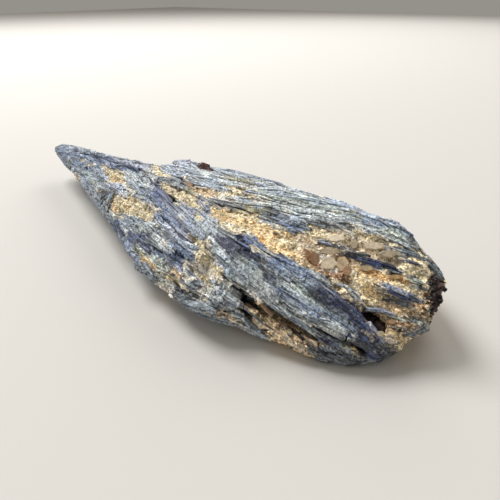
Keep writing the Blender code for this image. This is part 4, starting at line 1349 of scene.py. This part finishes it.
# %% Blades that show singly: pixel from, pixel to, half width in pixels, rise in millimetres, kind
SINGLE_BLADES = (
    (174, 216, 191, 229, 2.2, 1, "navy"), (222, 238, 246, 252, 1.8, 0.9, "navy"),
    (226, 236, 252, 250, 1.6, 0.9, "deep"), (218, 236, 240, 252, 1.6, 1, "navy"),
    (72, 175, 96, 199, 1.8, 0.6, "charcoal"), (60, 152, 84, 162, 1.6, 0.8, "deep"),
    (57, 150, 70, 158, 2.2, 0.5, "deep"), (256, 300, 272, 318, 2.6, 0.6, "smoke"),
    (262, 306, 282, 326, 3, 0.6, "smoke"), (270, 312, 294, 334, 3.2, 0.7, "tan"),
    (278, 318, 302, 330, 2.4, 0.8, "smoke"), (274, 328, 304, 346, 3.6, 0.6, "tan"),
    (282, 336, 310, 353, 3.6, 0.6, "buff"), (288, 344, 312, 356, 3, 0.6, "tan"),
    (262, 322, 286, 340, 3.4, 0.4, "tan"), (250, 316, 270, 336, 2.6, 0.5, "buff"),
    (288, 326, 302, 342, 1.6, 0.8, "umber"), (244, 302, 262, 315, 2.4, 0.4, "umber"),
    (302, 333, 320, 345, 2.8, 0.7, "tan"), (237, 282, 272, 304, 3.6, 0.7, "silver"),
    (262, 298, 298, 322, 3.4, 0.8, "steel"), (286, 316, 316, 334, 3, 0.8, "steel"),
    (244, 272, 300, 304, 3.2, 0.5, "silver"), (270, 290, 318, 316, 3.4, 0.6, "steel"),
    (300, 304, 332, 322, 3.2, 0.8, "silver"), (306, 319, 334, 324, 3, 1.6, "slate"),
    (322, 322, 350, 334, 3.4, 1.6, "silver"), (316, 318, 344, 328, 2, 1.7, "silver"),
    (322, 288, 352, 314, 2, 0.9, "navy"), (328, 288, 360, 316, 1.8, 1.2, "deep"),
    (336, 296, 366, 322, 2, 0.9, "navy"), (330, 298, 362, 326, 1.8, 0.8, "navy"),
    (344, 312, 372, 334, 2, 1, "deep"), (350, 318, 380, 342, 2.2, 1.1, "navy"),
    (346, 326, 372, 346, 2.4, 0.8, "navy"), (356, 330, 386, 348, 2.2, 0.9, "slate"),
    (348, 336, 368, 350, 2.4, 0.8, "deep"), (368, 322, 384, 343, 2.8, 1.8, "lilac"),
    (316, 338, 342, 347, 2.4, 0.6, "navy"), (362, 321, 380, 345, 1.8, 1.4, "deep"),
    (317, 242, 350, 250, 1.6, 1.6, "charcoal"), (318, 242, 334, 245, 1.2, 2, "lilac"),
    (344, 253, 376, 261, 1.8, 1.8, "navy"), (352, 257, 386, 267, 1.7, 2, "deep"),
    (370, 260, 398, 269, 1.6, 1.8, "navy"), (346, 252, 372, 256, 1.2, 2.2, "charcoal"),
    (392, 247, 424, 258, 1.8, 1.4, "slate"), (398, 250, 430, 262, 1.6, 1.2, "steel"),
    (407, 262, 421, 265, 1.6, 1.2, "navy"), (378, 242, 396, 250, 1, 0.8, "charcoal"),
    (390, 288, 416, 299, 2.4, 2, "lilac"), (386, 290, 410, 300, 1.8, 1.6, "deep"),
    # The charcoal row here lies below the lilac blade as painted shade.
    (388, 299, 410, 306, 2.2, 1.3, "charcoal"), (400, 298, 422, 312, 2.8, 1.4, "navy"),
    (362, 308, 388, 311, 1.8, 2.6, "sky"), (370, 307, 398, 316, 1.5, 2.4, "lilac"),
    (384, 314, 408, 322, 1.4, 1.6, "sage"), (390, 325, 414, 331, 1.4, 1.2, "slate"),
    (402, 336, 424, 330, 1.6, 1.2, "slate"), (412, 279, 424, 284, 2, 1.4, "sage"),
    # These navy and deep rows lie along the seam and paint its shadow.
    (151, 180, 176, 206, 2, 1.4, "navy"), (153, 186, 182, 214, 2, 1.2, "deep"),
    (154, 194, 180, 216, 1.8, 1, "navy"), (172, 206, 206, 234, 1.4, 1, "steel"),
    (190, 214, 212, 236, 1.6, 1.2, "silver"), (197, 200, 208, 214, 1.8, 1.8, "lilac"),
    (222, 176, 252, 183, 1.8, 1.2, "olive"), (240, 208, 266, 215, 1.6, 1.2, "olive"),
    (212, 202, 240, 206, 1.8, 1, "charcoal"), (258, 214, 282, 222, 1.6, 1.2, "charcoal"),
    (354, 205, 374, 212, 1.8, 1.4, "blue"), (334, 208, 360, 214, 1.4, 1, "slate"),
    (286, 196, 326, 202, 1.4, 1, "silver"), (240, 190, 286, 200, 1.4, 1, "sky"),
    (176, 172, 216, 180, 1.8, 1, "sky"), (56, 150, 84, 156, 1.4, 0.8, "blue"),
    (72, 148, 104, 157, 1.4, 0.8, "deep"), (98, 156, 136, 168, 1.6, 0.8, "deep"),
    (110, 158, 150, 170, 1.4, 0.8, "lilac"), (96, 182, 118, 190, 1.6, 0.8, "steel"),
    (60, 158, 84, 174, 1.4, 0.6, "slate"), (128, 236, 152, 254, 2.2, 1.2, "deep"),
    (136, 232, 166, 252, 2, 1, "slate"), (156, 252, 184, 268, 2.2, 1.2, "blue"),
    (184, 268, 206, 288, 2, 1, "steel"), (174, 286, 204, 300, 2.2, 1.2, "charcoal"),
    (220, 284, 241, 297, 3.6, 3.2, "silver"), (222, 292, 241, 305, 3.4, 2.6, "silver"),
    (227, 301, 237, 307, 1.5, 2.2, "blue"), (216, 280, 232, 288, 3, 1.6, "silver"),
    (226, 310, 254, 332, 1.6, 1, "silver"), (236, 312, 260, 334, 1.4, 1.2, "slate"),
    (242, 306, 266, 326, 1.2, 1, "silver"),
)
ROLL_SPREAD = 8             # degrees
RISE_SHARE = 0.6
SINGLE_THICKNESS = 1.6      # as a share of the half width
THINNEST_SINGLE = 2.2 * MM
COLOUR_CHANCES = (0.7, 0.15, 0.15)
SINGLE_SIDE_SHADE = 0.25


def single_blade(rng, u0, v0, u1, v1, half, rise, which):
    """Points, faces, map and colours of one row."""
    start, end = seen_spot(u0, v0), seen_spot(u1, v1)
    pixel = depth_of((start + end) / 2) / FOCAL_PX
    normal = facing[ground_at((start + end)[None] / 2)[0]]
    over = np.mean([0.0, *(steps_to_ground(start, end) @ normal)])
    along = unit(end - start)
    normal = square_to(along, normal, rng.normal(0, ROLL_SPREAD))
    shape, sides = blade_shapes[-1][rng.integers(SHAPES_EACH)]
    thick = max(THINNEST_SINGLE, half * pixel * SINGLE_THICKNESS)
    size = np.array([np.linalg.norm(end - start), half * 2 * pixel, thick])
    middle = (start + end) / 2 + normal * (over + rise * RISE_SHARE * MM - thick / 2)
    points, lie = laid_blade(shape, size / MM, middle, along, normal, rng.uniform(0, MAP_SPREAD, 2))
    pick = rng.choice(3, len(shape), p=COLOUR_CHANCES)
    # Painted shade: the sides of the blade are darker than its top.
    lit = np.where(shape[:, 2] > TOP_FROM, 1.0, SINGLE_SIDE_SHADE)
    colours = COLOURS[KINDS.index(which), pick] * lit[:, None]
    return points, sides, colours, lie


def lay_single_blades(name, seed):
    rng = np.random.default_rng(seed)
    mesh = joined_mesh(name, *gathered([single_blade(rng, *row) for row in SINGLE_BLADES]))
    print(name, len(SINGLE_BLADES), "blades")
    return new_piece(name, mesh, clean_kyanite)


lay_single_blades("single_blades", 12)

# %% [markdown]
# ## Quartz grains
# The vein between the blades is sugary quartz: small glassy grains, rusty in places, with a few larger clear
# and smoky crystals. One grain is a block of twelve faces. Thousands of copies are squashed, knocked out of
# square, turned and half sunk in the vein.

# %% Grains
def grain_shape():
    form = bmesh.new()
    bmesh.ops.create_cube(form, size=1.5)
    return arrays_of(form)


grain, grain_sides = grain_shape()


def turned_grains(rng, grains):
    """Each grain turned at random about its middle."""
    turns = np.linalg.qr(rng.normal(size=(len(grains), 3, 3)))[0]
    return np.einsum("nij,njk->nik", grains, turns)


def grain_faces(number):
    """Faces of this many grains, one after the other."""
    return (grain_sides[None] + (np.arange(number) * len(grain))[:, None, None]).reshape(-1, 3)


print("a grain has", len(grain_sides), "faces")

# %% Laying grains in the vein
GRAIN_SIZE, RIGHT_GRAIN_SIZE = 0.27, 0.34       # millimetres
SIZE_SPREAD = 0.4
SQUASH = (0.5, 1.2)         # least and most, for the whole grain
KNOCK = (0.6, 1.25)         # least and most, for each of its corners
STRETCH = (0, 1.2)          # along the streaks
LIFT = (-0.6, 0.3)          # off the ground, as a share of its size
BUFF_CALM = 0.4             # buff quartz is smoother, so its grains differ less


def lay_grains(name, number, seed):
    rng = np.random.default_rng(seed)
    weight = face_area * (IS_QUARTZ[kind[face_point]] & (cracked[face_point] < 0.3))
    spots = rng.choice(len(face_area), number, p=weight / weight.sum())
    mine = face_point[spots]
    typical = np.where(habit[mine] == RIGHT_END, RIGHT_GRAIN_SIZE, GRAIN_SIZE)
    size = np.exp(rng.normal(0, SIZE_SPREAD, number)) * typical * MM
    squash = rng.uniform(*SQUASH, (number, 1, 3))
    knocked = rng.uniform(*KNOCK, (number, len(grain), 3))
    local = turned_grains(rng, grain[None] * squash * knocked * size[:, None, None])
    ways = way[mine]
    local += (local @ ways[:, :, None]) * ways[:, None] * rng.uniform(*STRETCH, (number, 1, 1))
    lift = size * rng.uniform(*LIFT, number)
    points = face_centre[spots][:, None] + facing[mine][:, None] * lift[:, None, None] + local
    above = (local @ facing[mine][:, :, None])[..., 0] / size[:, None]
    # Painted light and shade: the upper points of a grain are lighter and the lower ones darker, times a
    # random tone for the grain.
    painted_light_and_tone = np.clip(1.0 + 0.35 * above, 0.5, 1.3) * np.exp(rng.normal(0, 0.2, (number, 1)))
    painted_light_and_tone = np.where(kind[mine][:, None] == KINDS.index("buff"), painted_light_and_tone ** BUFF_CALM, painted_light_and_tone)
    # Each grain also takes the painted shade and light of the ground under it.
    under = ground_colour[mine] * np.clip(shade[mine], 0.4, 1.25)[:, None] * 1.1
    colours = under[:, None] * painted_light_and_tone[..., None]
    mesh = joined_mesh(name, points.reshape(-1, 3), grain_faces(number), colours.reshape(-1, 3))
    print(name, number, "grains,", len(mesh.polygons), "triangles")
    return new_piece(name, mesh, quartz)


lay_grains("quartz_grains", 16000, 6)

# %% [markdown]
# ## Larger quartz crystals
# A few quartz crystals in the vein are big enough to show their faces, some clear and some smoky. Each is a
# short six-sided block, broader below than above, pressed into the ground and tipped towards the eye. Its
# size is given in pixels, and two vectors tell how far its face reaches for a pixel across and a pixel up.

# %% Larger quartz crystals: pixel, half width and half height in pixels, turn in degrees, kind, brightness
CRYSTALS = (
    (314, 258.5, 6.5, 8, 10, "smoke", 1), (328.5, 263.5, 10, 7.5, 25, "buff", 1.25),
    (331, 251, 13, 4.5, 0, "buff", 1), (380, 334, 4, 3, 10, "cream", 0.8),
    (342.5, 264, 7.5, 9.5, 40, "tan", 1), (347, 271, 5, 6, 15, "smoke", 1.1),
    (366, 268.5, 8.5, 3.5, 0, "amber", 0.7), (304, 266, 4, 3, 20, "amber", 0.9),
    (190, 185, 4, 3, 0, "smoke", 1), (226, 210, 6, 2.6, 0, "buff", 0.9), (374, 246, 13, 4.5, 10, "buff", 1),
    (354, 244, 4.5, 6, 40, "buff", 0.95), (392, 322, 5, 3, 0, "smoke", 1), (388, 254, 10, 4, 20, "buff", 1),
    (336, 239, 12, 4, 0, "buff", 0.95), (396, 277, 9, 2.6, 0, "rust", 0.8),
)
CRYSTAL_THICK = 4.0 * MM
CRYSTAL_RISE = 0.9 * MM
BOTTOM_RADIUS, TOP_RADIUS = 1.15, 0.86          # as shares of the half width and half height
TIP_TO_EYE = 0.5


def crystal_shape():
    form = bmesh.new()
    bmesh.ops.create_cone(form, cap_ends=True, cap_tris=False, segments=6, radius1=BOTTOM_RADIUS,
                          radius2=TOP_RADIUS, depth=1.0)
    return arrays_of(form)


def crystal(rng, shape, sides, u, v, wide, high, turn, which, painted_light_and_tone):
    """Points, faces and colours of one row."""
    centre = seen_spot(u, v)
    pixel = depth_of(centre) / FOCAL_PX
    sight_way = unit(centre - np.array(CAMERA_AT))
    normal = unit(facing[ground_at(centre[None])[0]] - sight_way * TIP_TO_EYE)
    across, upward = (step - sight_way * (step @ normal) / (sight_way @ normal)
                      for step in (np.array(RIGHT) * pixel, np.array(UP) * pixel))
    angle = np.radians(turn)
    flat = shape[:, :2] * rng.uniform(0.92, 1.06, (len(shape), 1))
    flat = flat @ np.array([[np.cos(angle), np.sin(angle)], [-np.sin(angle), np.cos(angle)]])
    body = flat[:, :1] * wide * across + flat[:, 1:] * high * upward
    sunk = (0.5 - shape[:, 2:]) * CRYSTAL_THICK - CRYSTAL_RISE
    colours = COLOURS[KINDS.index(which), 0] * painted_light_and_tone * rng.uniform(0.85, 1.1, (len(shape), 1))
    return centre + body - normal * sunk, sides, colours


def lay_crystals(name, seed):
    rng = np.random.default_rng(seed)
    shape, sides = crystal_shape()
    mesh = joined_mesh(name, *gathered([crystal(rng, shape, sides, *row) for row in CRYSTALS]))
    print(name, len(CRYSTALS), "crystals")
    return new_piece(name, mesh, clear_quartz)


lay_crystals("quartz_crystals", 7)

# %% [markdown]
# ## Garnets
# The garnets are dark red and only half formed. The one on the ridge and the ones in the pocket keep the
# packed crystals' shape, with worn edges and pitted faces. The one in the broken end is a rough crust of
# small crystals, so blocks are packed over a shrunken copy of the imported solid.

# %% Garnet pieces
WORN_EDGE = 0.35 * MM
PIT_LEVEL = 0.15            # millimetres that the faces are worn down, before the pits


def garnet_body(name, shrink):
    """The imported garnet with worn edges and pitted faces, drawn in towards its middle."""
    form = merged_copy(name)
    middle = sum((v.co for v in form.verts), Vector()) / len(form.verts)
    bmesh.ops.bevel(form, geom=form.edges[:], offset=WORN_EDGE, offset_type="OFFSET", affect="EDGES",
                    segments=1, profile=0.5, material=-1, clamp_overlap=True)
    bmesh.ops.subdivide_edges(form, edges=form.edges[:], cuts=2, use_grid_fill=True)
    bmesh.ops.triangulate(form, faces=form.faces[:])
    form.normal_update()
    spots = np.array([v.co[:] for v in form.verts])
    pits = noise(spots, 1.3 * MM, 3.0) * 0.3 + noise(spots, 3 * MM, 8.0) * 0.3
    for vert, pit in zip(form.verts, pits):
        vert.co = middle + (vert.co + vert.normal * (pit - PIT_LEVEL) * MM - middle) * (1 - shrink)
    mesh = bpy.data.meshes.new(name + "_body")
    form.to_mesh(mesh)
    form.free()
    return mesh


def garnet_piece(name, shrink, blocks, size, light, seed):
    """A garnet body with this many small blocks of this size in millimetres grown over it."""
    rng = np.random.default_rng(seed)
    body = garnet_body(name, shrink)
    points, normals = (numbers_of(body.vertices, what, 3) for what in ("co", "normal"))
    chosen = rng.integers(0, len(points), blocks)
    across = np.exp(rng.normal(np.log(size), 0.35, blocks)) * MM
    local = grain[None] * rng.uniform(0.6, 1.2, (blocks, len(grain), 3)) * across[:, None, None]
    laid = (points[chosen] - normals[chosen] * across[:, None] * 0.3)[:, None] + turned_grains(rng, local)
    painted_light_and_tone = np.repeat(rng.choice((0.4, 0.8, 2.0), blocks, p=(0.5, 0.3, 0.2)), len(grain))
    everything, faces, painted_light_and_tone = gathered([
        (points, numbers_of(body.polygons, "vertices", 3, np.int32), np.ones(len(points))),
        (laid.reshape(-1, 3), grain_faces(blocks), painted_light_and_tone)])
    detail = joined_mesh(name + "_detail", everything, faces, light * painted_light_and_tone[:, None] * np.ones(3))
    piece = new_piece(name + "_detail", detail, garnet)
    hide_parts(name)
    bpy.data.meshes.remove(body)
    print(piece.name, len(faces), "triangles")
    return piece


garnet_piece("garnet_top", 0.0, 8, 0.7, 2.4, 8)
garnet_piece("garnet_pocket", 0.0, 60, 0.7, 1.2, 9)
garnet_piece("garnet_end", 0.12, 520, 0.75, 1.0, 10)

# %% [markdown]
# ## Quartz over the end garnets
# Only a dark band of the end garnets shows, at the very rim. Nearer the middle, quartz and kyanite have
# grown over them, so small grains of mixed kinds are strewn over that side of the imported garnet.

# %% Quartz grown over the inner side of the end garnets
RIM_PIXEL = 431             # the pixel column where the rim's dark band begins
RIM_WAVER = 4               # pixels
END_KINDS = {"tan": 0.3, "buff": 0.2, "smoke": 0.15, "cream": 0.1, "umber": 0.15, "slate": 0.1}
END_GRAIN_SIZE = 0.45       # millimetres


def lay_end_grains(name, number, seed):
    """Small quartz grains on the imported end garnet, where it lies left of the rim."""
    rng = np.random.default_rng(seed)
    form = merged_copy("garnet_end")
    bmesh.ops.subdivide_edges(form, edges=form.edges[:], cuts=6, use_grid_fill=True)
    form.normal_update()
    spots, normals = np.array([(v.co[:], v.normal[:]) for v in form.verts]).transpose(1, 0, 2)
    form.free()
    inner = sight(spots)[:, 0] < RIM_PIXEL + RIM_WAVER * noise(spots, 5 * MM, 1.9)
    sunk = (spots - normals * 0.2 * MM)[inner]
    chosen = rng.integers(0, len(sunk), number)
    size = np.exp(rng.normal(np.log(END_GRAIN_SIZE), 0.35, (number, 1, 1))) * MM
    local = turned_grains(rng, grain[None] * rng.uniform(0.5, 1.2, (number, len(grain), 3)) * size)
    points = sunk[chosen][:, None] + local + rng.normal(0, 0.5, (number, 1, 3)) * MM
    kinds = rng.choice([KINDS.index(k) for k in END_KINDS], number, p=list(END_KINDS.values()))
    colours = np.repeat(COLOURS[kinds, 0] * rng.uniform(0.6, 1.1, (number, 1)), len(grain), axis=0)
    mesh = joined_mesh(name, points.reshape(-1, 3), grain_faces(number), colours)
    print(name, number, "grains")
    return new_piece(name, mesh, quartz)


lay_end_grains("end_grains", 1600, 14)

# %% [markdown]
# ## Floor and light
# The specimen rests on a plain pale floor in soft studio light. A large lamp on the left does most of the
# work, since light from the side brings out blades and grains. A second one behind lifts the ridge, a weak
# one in front opens the shade, and the warm pale world lights what the lamps miss.

# %% Floor
FLOOR_REACH = 3.0           # metres each way

floor_form = bmesh.new()
bmesh.ops.create_grid(floor_form, x_segments=1, y_segments=1, size=FLOOR_REACH)
floor_mesh = bpy.data.meshes.new("floor")
floor_form.to_mesh(floor_mesh)
floor_form.free()
floor = bpy.data.objects.new("floor", floor_mesh)
bpy.context.scene.collection.objects.link(floor)
floor_finish = Finish("floor", Base_Color=paint(213, 210, 205), Roughness=0.9, Specular_IOR_Level=0.1)
floor_mesh.materials.append(floor_finish.material)
print("floor", 2 * FLOOR_REACH, "m wide")

# %% World and lamps: place and aim in metres, width in metres, power in watts, colour
WORLD_COLOUR = (1.0, 0.95, 0.86, 1)
WORLD_STRENGTH = 0.3
LAMPS = {
    "window": ((-1.44, 0.3, 1.8), (0, 0, 0.02), 1.2, 51.5, (0.985, 0.985, 0.98)),
    "side_window": ((-0.4, 1.9, 1.58), (0, 0, 0.02), 1.6, 22.4, (1.0, 0.99, 0.98)),
    "fill": ((-1.19, -1.0, 1.18), (-0.05, 0, 0.02), 1.4, 3.2, (0.99, 0.99, 1.0)),
}

world = bpy.data.worlds.new("studio")
bpy.context.scene.world = world
world.use_nodes = True
world.node_tree.nodes["Background"].inputs["Color"].default_value = WORLD_COLOUR
world.node_tree.nodes["Background"].inputs["Strength"].default_value = WORLD_STRENGTH


def area_light(name, at, aim, size, power, colour):
    lamp = bpy.data.lights.new(name, "AREA")
    lamp.shape = "DISK"
    lamp.size = size
    lamp.energy = power
    lamp.color = colour
    holder = bpy.data.objects.new(name, lamp)
    bpy.context.scene.collection.objects.link(holder)
    holder.location = at
    holder.rotation_euler = (Vector(aim) - Vector(at)).to_track_quat("-Z", "Y").to_euler()


for name, row in LAMPS.items():
    area_light(name, *row)
print("lamps", list(LAMPS))
